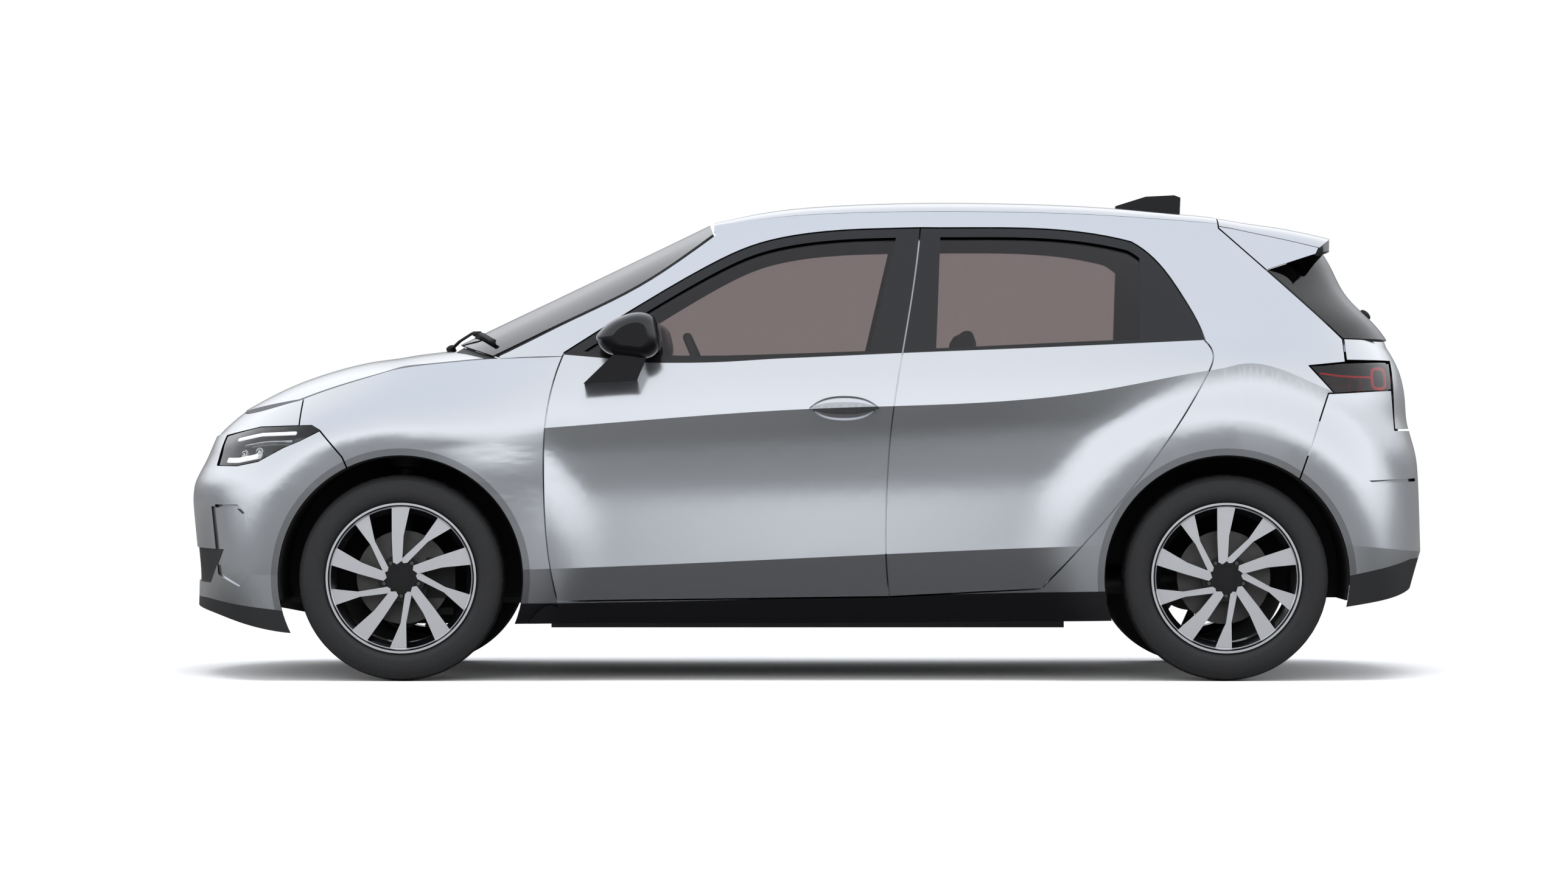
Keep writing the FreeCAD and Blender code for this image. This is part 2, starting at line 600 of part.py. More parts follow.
# A latch striker on each pillar, which the shut door rests on.
striker_slab = side_slab(
    steps(0.5, 1.02, 18), DOOR_LEVELS[1:3], lambda v: door_depths(v) + seat_gap,
    lambda v: pocket_depths(v) + size("door_clearance"))
for x, z in STRIKERS:
    pin = Part.makeCylinder(size("striker_radius"), overrun, Vector(x, -overrun, z), Vector(0, 1, 0))
    body_side = body_side.fuse(striker_slab.common(pin))
windscreen_face = polygon(
    *([(far_left, WINDSCREEN_EDGE[0][1])] + WINDSCREEN_EDGE + [(WINDSCREEN_EDGE[-1][0], ceiling), (far_left, ceiling)]))
hatch_face = outline(
    [(HATCH_EDGE[0][0], ceiling), HATCH_EDGE[0]], HATCH_EDGE,
    [HATCH_EDGE[-1], (far_right, HATCH_EDGE[-1][1])], [(far_right, HATCH_EDGE[-1][1]), (far_right, ceiling)],
    [(far_right, ceiling), (HATCH_EDGE[0][0], ceiling)])
quarter_face = polygon(*(QUARTER_REAR + [(far_right, 0), (far_right, QUARTER_REAR[0][1])]))
ahead_of_door = outline(
    FRONT_SHUT, [FRONT_SHUT[-1], (FRONT_SHUT[-1][0], 0)], [(FRONT_SHUT[-1][0], 0), (far_left, 0)],
    [(far_left, 0), (far_left, FRONT_SHUT[0][1])], [(far_left, FRONT_SHUT[0][1]), FRONT_SHUT[0]])
NOSE_START = 0.22
wing_levels = [steps(SILL, CREASE, 3), steps(CREASE, BELT, 11)]
wing_room = slab([
    (wrap_net(NOSE_START, levels, -skin), wrap_net(NOSE_START, levels, skin + size("door_clearance")))
    for levels in wing_levels])
body_side = body_side.cut(wing_room.common(left_prism(ahead_of_door)))
post_front = station_x(0.118)
for space in (left_prism(windscreen_face), left_prism(grown(hatch_face, half_gap)), left_prism(grown(quarter_face, half_gap)),
              arch_space(x_front, arch_radius + size("liner_room"), 0), rear_arch,
              box((far_left, post_front), (-overrun, 0), (0, WINDSCREEN_EDGE[0][1] + gap))):
    body_side = body_side.cut(space)

# Nose and wings.
nose = slab([(wrap_net(NOSE_START, levels, 0), wrap_net(NOSE_START, levels, skin)) for levels in wing_levels])
wing = nose.common(left_prism(ahead_of_door)).cut(left_prism(grown(nose_face, half_gap))).cut(front_arch)
wing = wing.cut(left_prism(grown(lamp_face, half_gap)))
wing = wing.cut(left_prism(grown(front_outline, half_gap)))


def belt_y(x):
    station = (x - x_front) / (front_overhang if x < x_front else wheelbase)
    return width_lines[BELT](station) * half_width * end_share(station, BELT)


def stop_net(depth):
    """A short ledge inside the wing's rim, under the bonnet's edge."""
    net = []
    for station in BONNET_STOP_STATIONS:
        x = station_x(station)
        net.append([bonnet_point(x, -belt_y(x) + reach * skin) for reach in (-3, 0, 2.6)])
        for point in net[-1]:
            point.z -= depth
    return net


BONNET_STOP_STATIONS = steps(-0.36, -0.28, 2)
bonnet_stop = slab([(stop_net(skin + 3 * seat_gap), stop_net(2 * skin))])
wing_outside = slab([(wrap_net(NOSE_START, levels, -skin), wrap_net(NOSE_START, levels, skin / 2)) for levels in wing_levels])
bonnet_stop = bonnet_stop.cut(wing_outside)
wing = wing.fuse(bonnet_stop)
keep("wings", wing, mirrored(wing))
lamp_prism = left_prism(grown(lamp_face, size("plate_gap")))
bumper = nose.common(wide_prism(grown(nose_face, -half_gap)))
bumper = bumper.cut(front_arch).cut(mirrored(front_arch)).cut(lamp_prism).cut(mirrored(lamp_prism))
NOSE_PANEL = [at(-0.835, 0.355), at(-0.700, 0.352), at(-0.664, 0.338), at(-0.662, 0.205), at(-0.690, 0.192), at(-0.80, 0.215)]
NOSE_SLOT = [at(-0.815, 0.359), at(-0.700, 0.3595), at(-0.656, 0.343), at(-0.676, 0.3405), at(-0.705, 0.3515), at(-0.815, 0.3525)]


def recess(start, face, depth):
    """What is cut out of both sides of a bumper's skin, down to a depth."""
    levels = steps(SILL, BELT, 14)
    tool = slab([(wrap_net(start, levels, -gap), wrap_net(start, levels, depth))])
    left = tool.common(left_prism(face))
    return left, mirrored(left)


for face, depth in ((polygon(*NOSE_PANEL), size("panel_recess")), (polygon(*NOSE_SLOT), size("slot_depth"))):
    for tool in recess(NOSE_START, face, depth):
        bumper = bumper.cut(tool)

# Roof, between the cant rails.
roof_levels = steps(RAIL + 0.26, RAIL + 1, 9)
roof_stations = steps(0.36, 1.0, 14) + [1.03]


def roof_net(stations, levels, depth):
    net = []
    for station in stations:
        line = [side_point(station, level, depth) for level in levels]
        net.append(line + [Vector(p.x, -p.y, p.z) for p in line[-2::-1]])
    return net


roof = slab([(roof_net(roof_stations, roof_levels, 0), roof_net(roof_stations, roof_levels, size("roof_depth")))])
roof = roof.cut(wide_prism(windscreen_face)).cut(wide_prism(grown(hatch_face, half_gap)))
keep("roof_panel", roof)

# The nose between the belt line and the bonnet, joined to the bumper.
CAP_START = BONNET_CORNER


def bonnet_front(share):
    """How far back the bonnet starts, at a share of the width."""
    return mix(station_x(BONNET_NOSE), station_x(BONNET_CORNER), abs(share) ** 3)


def cap_net(depth):
    corner = wrap_point(CAP_START, BELT, 0, 0, False)
    net = []
    for reach in both_sides(WRAP_REACH_SHARES):
        low = wrap_point(CAP_START, BELT - 0.12, reach, depth + gap, False)
        rim = wrap_point(CAP_START, BELT, reach, depth, False)
        back_x = bonnet_front(min(abs(rim.y / corner.y), 1.0)) + skin * 3
        top = bonnet_point(max(back_x, rim.x + depth), rim.y * 0.985)
        top.z -= depth
        middle = bonnet_point(mix(rim.x, top.x, 0.5), mix(rim.y, top.y, 0.5))
        middle.z -= depth
        net.append([low, rim, middle, top])
    return net


cap = slab([(cap_net(0), cap_net(skin))])
cap_half = wrap_point(CAP_START, BELT, 0, 0, False).y
plan_shares = steps(-1, 1, 16)


def plan_prism(distance):
    """The bonnet's outline seen from above, carried straight up."""
    front = [Vector(bonnet_front(w), w * cap_half, 0) for w in plan_shares]
    back_x = station_x(0.5)
    curve = Part.BSplineCurve()
    curve.interpolate(front)
    ends = [curve.toShape()]
    corner_points = [front[-1]] + [
        Vector(x, y, 0) for x, y in (
            (front[-1].x, -half_width), (back_x, -half_width), (back_x, half_width), (front[0].x, half_width))]
    corner_points.append(front[0])
    ends += [Part.LineSegment(a, b).toShape() for a, b in zip(corner_points, corner_points[1:])]
    face = grown(Part.Face(Part.Wire(Part.__sortEdges__(ends))), distance)
    return face.extrude(Vector(0, 0, ceiling)).toNurbs()


cap = cap.cut(plan_prism(half_gap))
bumper = bumper.fuse(cap.cut(lamp_prism).cut(mirrored(lamp_prism)))
GRILLE = [at(-1.1, 0.196), at(-1.1, 0.267), at(-0.772, 0.267), at(-0.845, 0.196)]
LIP = [at(-1.1, 0), at(-1.1, 0.165), at(-0.867, 0.164), at(-0.495, 0.144), at(-0.2, 0.144), at(-0.2, 0)]
grille_prism = wide_prism(polygon(*GRILLE))
lip_prism = wide_prism(polygon(*LIP))
grille_slab = slab([(wrap_net(NOSE_START, steps(SILL, WAIST, 6), gap), wrap_net(NOSE_START, steps(SILL, WAIST, 6), skin))])
front_grille = grille_slab.common(wide_prism(grown(polygon(*GRILLE), -seat_gap)))
front_lip = bumper.common(wide_prism(grown(polygon(*LIP), -seat_gap)))
bumper = bumper.cut(grille_prism).cut(lip_prism)
keep("front_bumper", bumper)
keep("front_lip", front_lip, front_grille)

# Headlamps: clear blocks that follow the skin.
lamp_levels = [steps(FLANK, BELT, 8)]
lamp_depth = size("lamp_depth")
lamp_slab = slab([(wrap_net(NOSE_START, lamp_levels[0], gap), wrap_net(NOSE_START, lamp_levels[0], lamp_depth))])
headlamp = lamp_slab.common(left_prism(lamp_face))
housing_nets = [wrap_net(NOSE_START, lamp_levels[0], depth) for depth in (skin * 0.6, lamp_depth)]
housing = slab([tuple(housing_nets)]).common(left_prism(grown(lamp_face, half_gap - seat_gap)))
headlamp = headlamp.fuse(housing)
keep("headlamps", headlamp, mirrored(headlamp))

# Bonnet.
ACROSS_SHARES = [-1, -0.92, -0.8, -0.65, -0.45, -0.22, 0, 0.22, 0.45, 0.65, 0.8, 0.92, 1]
COWL_MIDDLE, COWL_SIDE = 0.036, 0.098


def bonnet_net(depth):
    def pole(w, share):
        first = bonnet_front(w) - skin
        last = mix(station_x(COWL_MIDDLE), station_x(COWL_SIDE), abs(w) ** 2)
        x = mix(first, last, share)
        point = bonnet_point(x, w * (belt_y(x) - skin - gap))
        point.z -= depth
        return point
    return cross_net(ACROSS_SHARES, 14, pole)


bonnet = slab([(bonnet_net(0), bonnet_net(skin))]).common(plan_prism(-half_gap))
keep("bonnet", bonnet)

# Windscreen, with the cowl at its foot.
SCREEN_FOOT, SCREEN_HEAD = at(0.0577, 0.6938), at(0.3723, 0.9463)
edge_height = curve_through(WINDSCREEN_EDGE)


def screen_pole(w, share, drop=0.0):
    edge_x = mix(WINDSCREEN_EDGE[0][0], WINDSCREEN_EDGE[-1][0], share) - gap
    edge_z = edge_height(edge_x)
    edge_out = side_y(edge_x, edge_z) - gap
    middle_x = mix(SCREEN_FOOT[0], SCREEN_HEAD[0], share) - gap
    middle_z = mix(SCREEN_FOOT[1], SCREEN_HEAD[1], share)
    lean = math.atan2(SCREEN_HEAD[1] - SCREEN_FOOT[1], SCREEN_HEAD[0] - SCREEN_FOOT[0])
    x = mix(middle_x, edge_x, abs(w) ** 2.4) + drop * math.sin(lean)
    return Vector(x, w * edge_out, mix(middle_z, edge_z, abs(w) ** 2.4) - drop * math.cos(lean))


glass_thickness = size("glass_thickness")
windscreen = slab([(cross_net(ACROSS_SHARES, 8, screen_pole),
                    cross_net(ACROSS_SHARES, 8, lambda w, share: screen_pole(w, share, glass_thickness)))])
keep("windscreen", windscreen)


def screen_room_net(drop):
    """The windscreen's surface carried a little past its edges, deeper at its foot."""
    widths = [-1.02] + ACROSS_SHARES + [1.02]
    return cross_net(widths, 8, lambda w, share: screen_pole(
        w, mix(-0.012, 1.012, share), drop + gap * (1 - share) ** 6))


body_side = body_side.cut(slab([(screen_room_net(-skin), screen_room_net(glass_thickness + 3 * seat_gap))]))
keep("body_side_left", body_side)
keep("body_side_right", mirrored(body_side))


def cowl_net(depth):
    net = []
    for w in ACROSS_SHARES:
        foot = screen_pole(w, 0.0)
        front_x = mix(station_x(COWL_MIDDLE), station_x(COWL_SIDE), abs(w) ** 2) + gap
        front = bonnet_point(front_x, w * (belt_y(front_x) - gap * 2))
        back = Vector(foot.x + gap * 2, foot.y, foot.z - gap)
        front = Vector(min(front.x, back.x - gap * 3), front.y, front.z - skin)
        net.append([front - Vector(0, 0, depth), back - Vector(0, 0, depth)])
    return net


cowl = slab([(cowl_net(gap), cowl_net(gap + skin))])
wing_seat = slab([(wrap_net(NOSE_START, levels, -skin), wrap_net(NOSE_START, levels, skin + seat_gap)) for levels in wing_levels])
cowl = cowl.cut(wing_seat)
keep("cowl", cowl)

# Tail: bumper, diffuser and lamps.
TAIL_START = 1.15
TAIL_LEVELS = [steps(SILL, CREASE, 3), steps(CREASE, BELT, 11)]
tail = slab([(wrap_net(TAIL_START, levels, 0), wrap_net(TAIL_START, levels, skin)) for levels in TAIL_LEVELS])
tail_top = at(1.95, 0.514)
bumper_face = polygon(
    at(1.2, 0), at(1.2, 0.3), at(1.325, 0.418), at(1.455, 0.587), at(1.483, 0.587), at(1.773, 0.5948),
    at(1.78, 0.512), at(2.2, 0.512), at(2.2, 0))
rear_bumper = tail.common(wide_prism(grown(bumper_face, -half_gap)))
lug_slab = slab([(wrap_net(TAIL_START, TAIL_LEVELS[1], skin * 0.6), wrap_net(TAIL_START, TAIL_LEVELS[1], skin * 2))])
lug = lug_slab.common(wide_prism(grown(bumper_face, half_gap - seat_gap))).common(
    box((0, station_x(1.6)), (-overrun, overrun), (0.46 * body_height, 0.53 * body_height)))
rear_bumper = rear_bumper.fuse(lug).cut(rear_arch).cut(mirrored(rear_arch))
# A shelf and upstand inside the tailgate's lower edge close the view through its gap.
shelf_depth = size("bumper_shelf")
shelf_space = box((station_x(1.72), length), (-overrun, overrun), (0.49 * body_height, 0.508 * body_height))
upstand_space = box((station_x(1.72), length), (-overrun, overrun), (0.495 * body_height, 0.532 * body_height))
shelf = slab([(wrap_net(TAIL_START, TAIL_LEVELS[1], skin * 0.6), wrap_net(TAIL_START, TAIL_LEVELS[1], shelf_depth))])
upstand = slab([(wrap_net(TAIL_START, TAIL_LEVELS[1], size("roof_depth") + gap), wrap_net(TAIL_START, TAIL_LEVELS[1], shelf_depth))])
rear_bumper = rear_bumper.fuse(shelf.common(shelf_space)).fuse(upstand.common(upstand_space))
TAIL_SLOT = [at(1.635, 0.409), at(1.9, 0.412), at(1.9, 0.4055), at(1.66, 0.4035)]
for tool in recess(TAIL_START, polygon(*TAIL_SLOT), size("slot_depth")):
    rear_bumper = rear_bumper.cut(tool)
DIFFUSER = [at(1.2, 0), at(1.2, 0.20), at(1.518, 0.213), at(1.86, 0.245), at(2.2, 0.245), at(2.2, 0)]
diffuser = rear_bumper.common(wide_prism(grown(polygon(*DIFFUSER), -seat_gap)))
rear_bumper = rear_bumper.cut(wide_prism(polygon(*DIFFUSER)))
keep("rear_bumper", rear_bumper)
keep("rear_diffuser", diffuser)
lamp_slab = slab([(wrap_net(TAIL_START, steps(FLANK, BELT, 8), 0), wrap_net(TAIL_START, steps(FLANK, BELT, 8), lamp_depth))])
tail_lamp = lamp_slab.common(left_prism(grown(tail_lamp_face, -half_gap)))
housing_nets = [wrap_net(TAIL_START, steps(FLANK, BELT, 8), depth) for depth in (skin * 0.6, lamp_depth)]
housing = slab([tuple(housing_nets)]).common(left_prism(grown(tail_lamp_face, half_gap - seat_gap)))
tail_lamp = tail_lamp.fuse(housing)
keep("tail_lamps", tail_lamp, mirrored(tail_lamp))

# Tailgate: lower panel, frame round the glass, spoiler.
GLASS_MIDDLE_SHARES = [(0.690, 1.822), (0.727, 1.773), (0.7838, 1.645), (0.8867, 1.524), (0.9, 1.5)]
glass_middle = curve_through(GLASS_MIDDLE_SHARES)
hatch_edge_x = curve_through([(z, x) for x, z in HATCH_EDGE[::-1]])
GLASS_LOW, GLASS_HIGH = 0.701, 0.888


def hatch_net(first, last, depth, inset):
    def pole(w, share):
        z_share = mix(first, last, share)
        z = z_share * body_height
        edge_x = hatch_edge_x(min(z, HATCH_EDGE[0][1])) + gap
        edge_out = side_y(edge_x, z) - inset
        middle_x = station_x(glass_middle(z_share))
        x = mix(middle_x, edge_x, abs(w) ** 3.4)
        return Vector(x - depth * 0.8, w * edge_out, z - depth * 0.6)
    return cross_net(ACROSS_SHARES, 8, pole)


rear_glass = slab([(hatch_net(GLASS_LOW, GLASS_HIGH, 0, 2), hatch_net(GLASS_LOW, GLASS_HIGH, glass_thickness, 2))])
frame_ring = slab([(hatch_net(0.675, 0.9, glass_thickness + seat_gap, gap * 2), hatch_net(0.675, 0.9, size("door_frame_depth"), gap * 2))])
ring_hole = box((0, length), (-0.52 * half_width, 0.52 * half_width), (0.735 * body_height, 0.862 * body_height))
stop_zone = box((0, length), (-overrun, overrun), (0.765 * body_height, 0.782 * body_height))
below_hatch = box((HATCH_EDGE[-1][0] + half_gap, length), (-overrun, overrun), (0.66 * body_height, HATCH_EDGE[-1][1] + gap))
hatch_room = joined(
    wide_prism(grown(hatch_face, -half_gap)), below_hatch,
    wide_prism(grown(hatch_face, half_gap - seat_gap)).common(stop_zone))
frame_ring = frame_ring.cut(ring_hole).common(hatch_room)
tailgate_face = polygon(
    at(1.542, 0.72), at(1.548, 0.6565), at(1.784, 0.6565), at(1.784, 0.515), at(2.2, 0.515), at(2.2, 0.72))
lower_panel = slab([(wrap_net(TAIL_START, steps(FLANK, BELT, 8), 0), wrap_net(TAIL_START, steps(FLANK, BELT, 8), size("roof_depth")))])
lower_panel = lower_panel.common(wide_prism(tailgate_face))
spoiler_levels = steps(RAIL + 0.2, RAIL + 1, 9)


def spoiler_net(depth):
    """The roof's surface run on past the hatch line, longest on the centre line."""
    net = []
    for share in steps(0, 1, 10):
        line = []
        for level in spoiler_levels:
            end = 1.541 - 0.085 * ((RAIL + 1 - level) / 0.8) ** 2
            line.append(side_point(mix(0.98, end, share), level, depth))
        net.append(line + [Vector(p.x, -p.y, p.z) for p in line[-2::-1]])
    return net


spoiler = slab([(spoiler_net(0), spoiler_net(size("spoiler_depth")))])
spoiler = spoiler.common(wide_prism(grown(hatch_face, -half_gap)))
SPOILER_SIDE = [HATCH_EDGE[0], HATCH_EDGE[1], at(1.438, 0.877), at(1.452, 0.889), at(1.452, 1.0), (HATCH_EDGE[0][0], body_height)]
spoiler_side_face = polygon(*SPOILER_SIDE)
wedge = side_slab(steps(0.98, 1.5, 10), [steps(BELT + 0.45, RAIL + 0.25, 7)], even_depth(0), even_depth(size("spoiler_side")))
wedge = wedge.common(left_prism(grown(spoiler_side_face, -half_gap)))
wedge_room = wide_prism(grown(spoiler_side_face, seat_gap))
rear_glass = rear_glass.cut(wedge_room)
spoiler = spoiler.fuse(wedge).fuse(mirrored(wedge))
tailgate = lower_panel.fuse(frame_ring.cut(wedge_room)).fuse(spoiler)
keep("tailgate", tailgate)
keep("tailgate_glass", rear_glass)


def bound(kind, label, base, rotation=None, **sizes):
    """A primitive whose sizes follow the sheet."""
    thing = doc.addObject("Part::" + kind, label)
    for name, expression in sizes.items():
        thing.setExpression(name, expression)
    thing.Placement = FreeCAD.Placement(Vector(*base), rotation or Rotation())
    return thing


def tube(start, end, radius):
    way = Vector(*end) - Vector(*start)
    return Part.makeCylinder(radius, way.Length, Vector(*start), way)


def turned(outline_points, axis_x=0.0):
    """A ring about the Y axis from (radius, y) corners."""
    wire = Part.makePolygon([Vector(r, y, 0) for r, y in outline_points + outline_points[:1]])
    return Part.Face(wire).revolve(Vector(0, 0, 0), Vector(0, 1, 0), 360)


# Battery, drive unit and floor.
floor_z = size("floor_height")
floor_t = size("floor_thickness")
battery = bound(
    "Box", "battery_pack", (-size("battery_length") / 2, -size("battery_width") / 2, floor_z - size("battery_height") - seat_gap),
    Length="sizes.battery_length", Width="sizes.battery_width", Height="sizes.battery_height")
parts["battery_pack"] = battery
bay_half = size("wheelhouse_width") + 0.24 * half_width
drive = bound(
    "Box", "drive_unit", (x_front - size("drive_length") / 2, -size("drive_width") / 2, floor_z + floor_t + seat_gap),
    Length="sizes.drive_length", Width="sizes.drive_width", Height="sizes.drive_height")
parts["drive_unit"] = drive
firewall_x = station_x(0.158)
rear_wall_x = station_x(0.84)
boot_z = 0.27 * body_height
boot_half = 0.58 * half_width
cabin_half = 0.768 * half_width
front_half = 0.52 * half_width
floor_pan = joined(
    box((firewall_x, rear_wall_x), (-cabin_half, cabin_half), (floor_z, floor_z + floor_t)),
    box((firewall_x, firewall_x + floor_t), (-cabin_half, cabin_half), (floor_z, 0.60 * body_height)),
    box((rear_wall_x - floor_t, rear_wall_x), (-boot_half, boot_half), (floor_z, boot_z + floor_t)),
    box((rear_wall_x - floor_t, station_x(1.78)), (-boot_half, boot_half), (boot_z, boot_z + floor_t)),
    box((station_x(1.78) - floor_t, station_x(1.78)), (-boot_half, boot_half), (boot_z, 0.48 * body_height)),
    box((station_x(-0.62), firewall_x + floor_t), (-front_half, front_half), (floor_z, floor_z + floor_t)),
    box((station_x(-0.62), firewall_x + floor_t), (-front_half, -front_half + floor_t), (floor_z, 0.54 * body_height)),
    box((station_x(-0.62), firewall_x + floor_t), (front_half - floor_t, front_half), (floor_z, 0.54 * body_height)),
    box((station_x(-0.62), station_x(-0.62) + floor_t), (-front_half, front_half), (floor_z, 0.46 * body_height)))
keep("floor_pan", floor_pan)

# Wheelhouse liners.
liner_outer = arch_radius - seat_gap
liner_inner = liner_outer - size("liner_thickness")


def liner(axle, inner_y, outer_y):
    shell = arch_space(axle, liner_outer, 0).cut(arch_space(axle, liner_inner, 0))
    wall_y = -inner_y
    shell = shell.common(box((axle - overrun, axle + overrun), (-outer_y, wall_y), (0, body_height)))
    wall = arch_space(axle, liner_inner + seat_gap, 0).common(
        box((axle - overrun, axle + overrun), (wall_y - size("liner_thickness"), wall_y), (0, body_height)))
    both = shell.fuse(wall)
    return both.common(box((axle - overrun, axle + overrun), (-overrun, 0), (size("liner_foot"), body_height)))


liner_reach = 0.955 * half_width
king_low = Vector(x_front, -size("track") / 2 + size("steer_offset") + size("stub_radius") / 3, 0.123 * body_height)
king_high = Vector(x_front, -0.633 * half_width, 0.53 * body_height)
strut_room = tube(king_low, king_high + (king_high - king_low), size("spring_radius") + 2 * size("spring_wire"))
front_liner = liner(x_front, front_half + seat_gap, liner_reach).cut(strut_room)
arm_room = box((x_rear - overrun, x_rear), (-0.72 * half_width, -boot_half), (0, 0.235 * body_height))
rear_liner = liner(x_rear, boot_half + seat_gap, liner_reach).cut(arm_room)
keep("arch_liners", front_liner, mirrored(front_liner), rear_liner, mirrored(rear_liner))

# Wheels, drawn about the origin with the outer face towards -Y.
wheel_side = size("tyre_width") / 2
bead = size("tyre_bead_radius")
TYRE_OUTER_SHARES = [(0, 0.80), (0.09, 0.86), (0.25, 0.985), (0.5, 1), (0.78, 0.955), (0.92, 0.86), (0.965, 0.74), (1, 0)]
TYRE_INNER_SHARES = [(0.9, 0), (0.88, 0.6), (0.78, 0.8), (0.5, 0.88), (0.25, 0.87), (0.12, 0.79), (0, 0.66)]


def tyre_ring():
    rise = tyre_radius - bead
    outer = [(bead + r * rise, -y * wheel_side) for r, y in TYRE_OUTER_SHARES]
    inner = [(bead + r * rise, -y * wheel_side) for r, y in TYRE_INNER_SHARES]
    edges = []
    for half in (outer, inner):
        both = half + [(r, -y) for r, y in half[-2::-1]] if half is outer else half[::-1] + [(r, -y) for r, y in half[1:]]
        spline = Part.BSplineCurve()
        spline.interpolate([Vector(r, y, 0) for r, y in both])
        edges.append(spline.toShape())
        half.append(both)
    first, second = outer[-1], inner[-1]
    for a, b in ((first[0], second[0]), (first[-1], second[-1])):
        edges.append(Part.LineSegment(Vector(a[0], a[1], 0), Vector(b[0], b[1], 0)).toShape())
    face = Part.Face(Part.Wire(Part.__sortEdges__(edges)))
    return face.revolve(Vector(0, 0, 0), Vector(0, 1, 0), 360)


tyre = tyre_ring()
lip = size("rim_lip_radius")
rim_side = size("rim_width") / 2
wall = size("rim_wall")
seat = bead - seat_gap
BARREL_SHARES = [(0.94, 1), (0.92, 0.97), (0.62, 0.97), (0.47, 0.9), (-0.6, 0.9), (-0.75, 0.97), (-0.92, 0.97), (-0.94, 1)]


def barrel_points():
    outer = []
    for y, r in BARREL_SHARES:
        radius = lip if r == 1 else r / 0.97 * seat
        outer.append((radius, -y * rim_side))
    outer = [(lip, -rim_side)] + outer + [(lip, rim_side)]
    inner = [(r - wall, y) for r, y in outer[2:-2]]
    return outer + [(lip - wall, rim_side)] + inner[::-1] + [(lip - wall, -rim_side)]


barrel = turned(barrel_points())
face_y = -0.94 * rim_side
spoke_depth = size("rim_face_depth")


def polar(radius_share, degrees):
    angle = math.radians(degrees)
    return (math.cos(angle) * radius_share * lip, math.sin(angle) * radius_share * lip)


def blade(angle, corners, start_y, depth):
    points = [polar(r, angle + a) for r, a in corners]
    wire = Part.makePolygon([Vector(x, start_y, z) for x, z in points + points[:1]])
    return Part.Face(wire).extrude(Vector(0, depth, 0))


WIDE_BLADE_SHARES = [(0.955, -7.2), (0.955, 7.4), (0.56, 12.5), (0.235, 27), (0.19, 16), (0.235, -4), (0.56, -3.5)]
KINKED_BLADE_SHARES = [(0.955, -45.4), (0.955, -31.6), (0.6, -29.5), (0.24, 2), (0.2, -10), (0.22, -22), (0.6, -36.5)]
spokes = []
turn = 360 / size("spokes")
for k in range(int(size("spokes"))):
    angle = 90 + k * turn
    spokes.append(blade(angle, WIDE_BLADE_SHARES, face_y, spoke_depth))
    spokes.append(blade(angle, KINKED_BLADE_SHARES, face_y + size("blade_step"), spoke_depth - size("blade_step")))
hub_y = face_y + spoke_depth
hub_inner = -size("disc_offset") + size("track") * 0
mount_y = size("disc_offset") - size("disc_thickness") / 2 - size("hub_length") / 2
hub_disc = Part.makeCylinder(size("hub_radius"), mount_y - hub_y + spoke_depth / 2, Vector(0, hub_y - spoke_depth / 2, 0), Vector(0, 1, 0))
cap_disc = Part.makeCylinder(size("hub_cap_radius"), spoke_depth, Vector(0, face_y + size("blade_step"), 0), Vector(0, 1, 0))
bolt_holes = []
for k in range(5):
    x, z = polar(size("bolt_circle") / lip, -90 + 72 * k)
    bolt_holes.append(Part.makeCylinder(size("bolt_radius"), spoke_depth, Vector(x, hub_y - spoke_depth, z), Vector(0, 1, 0)))
rim = joined(barrel, *spokes, hub_disc, cap_disc).cut(bolt_holes)
bell = Part.makeCylinder(
    size("hub_radius"), size("disc_offset") + size("disc_thickness") / 2 - mount_y - seat_gap,
    Vector(0, mount_y + seat_gap, 0), Vector(0, 1, 0))
disc = Part.makeCylinder(
    size("disc_radius"), size("disc_thickness"),
    Vector(0, size("disc_offset") - size("disc_thickness") / 2, 0), Vector(0, 1, 0))
stub = Part.makeCylinder(
    size("stub_radius"), size("stub_length"), Vector(0, size("disc_offset"), 0), Vector(0, 1, 0))
brake_disc = joined(bell, disc, stub)
left_y = -size("track") / 2
for name, axle in (("front", x_front), ("rear", x_rear)):
    for part, shape in (("tyre", tyre), ("rim", rim), ("brake_disc", brake_disc)):
        placed = shape.copy()
        placed.translate(Vector(axle, left_y, tyre_radius))
        keep("%s_%s_left" % (part, name), placed)
        keep("%s_%s_right" % (part, name), mirrored(placed))

# Knuckles: hub carrier, strut, spring and brake caliper in one, turning about the strut's line.
carrier_y = left_y + size("disc_offset") + size("disc_thickness") / 2 + gap
stub_end = left_y + size("disc_offset") + size("stub_length")
king_way = king_high - king_low


def king_point(z):
    share = (z - king_low.z) / king_way.z
    return king_low + king_way * share


arm_t = size("arm_thickness")
joint_radius = 0.4 * arm_t
joint_pin = tube(king_point(king_low.z + 0.2 * joint_radius), king_point(king_low.z + arm_t), joint_radius)
carrier_low = king_low.z + 0.6 * arm_t
carrier = box((x_front - 45, x_front + 45), (carrier_y, stub_end - gap), (carrier_low, tyre_radius + 95))
strut = tube(king_point(tyre_radius), king_high, size("strut_radius"))
spring_low = king_point(0.43 * body_height)
spring = tube(spring_low, king_high, size("spring_radius")).cut(
    tube(spring_low, king_high, size("spring_radius") - size("spring_wire")))
seat_plate = tube(spring_low, king_point(0.43 * body_height + size("spring_wire")), size("spring_radius"))
top_plate = tube(king_point(0.52 * body_height), king_high, size("spring_radius"))
disc_y = left_y + size("disc_offset")
disc_t = size("disc_thickness")
disc_r = size("disc_radius")
caliper = box(
    (x_front + 0.5 * disc_r, x_front + 1.12 * disc_r), (disc_y - disc_t * 1.6, carrier_y + disc_t),
    (tyre_radius - 0.42 * disc_r, tyre_radius + 0.42 * disc_r))
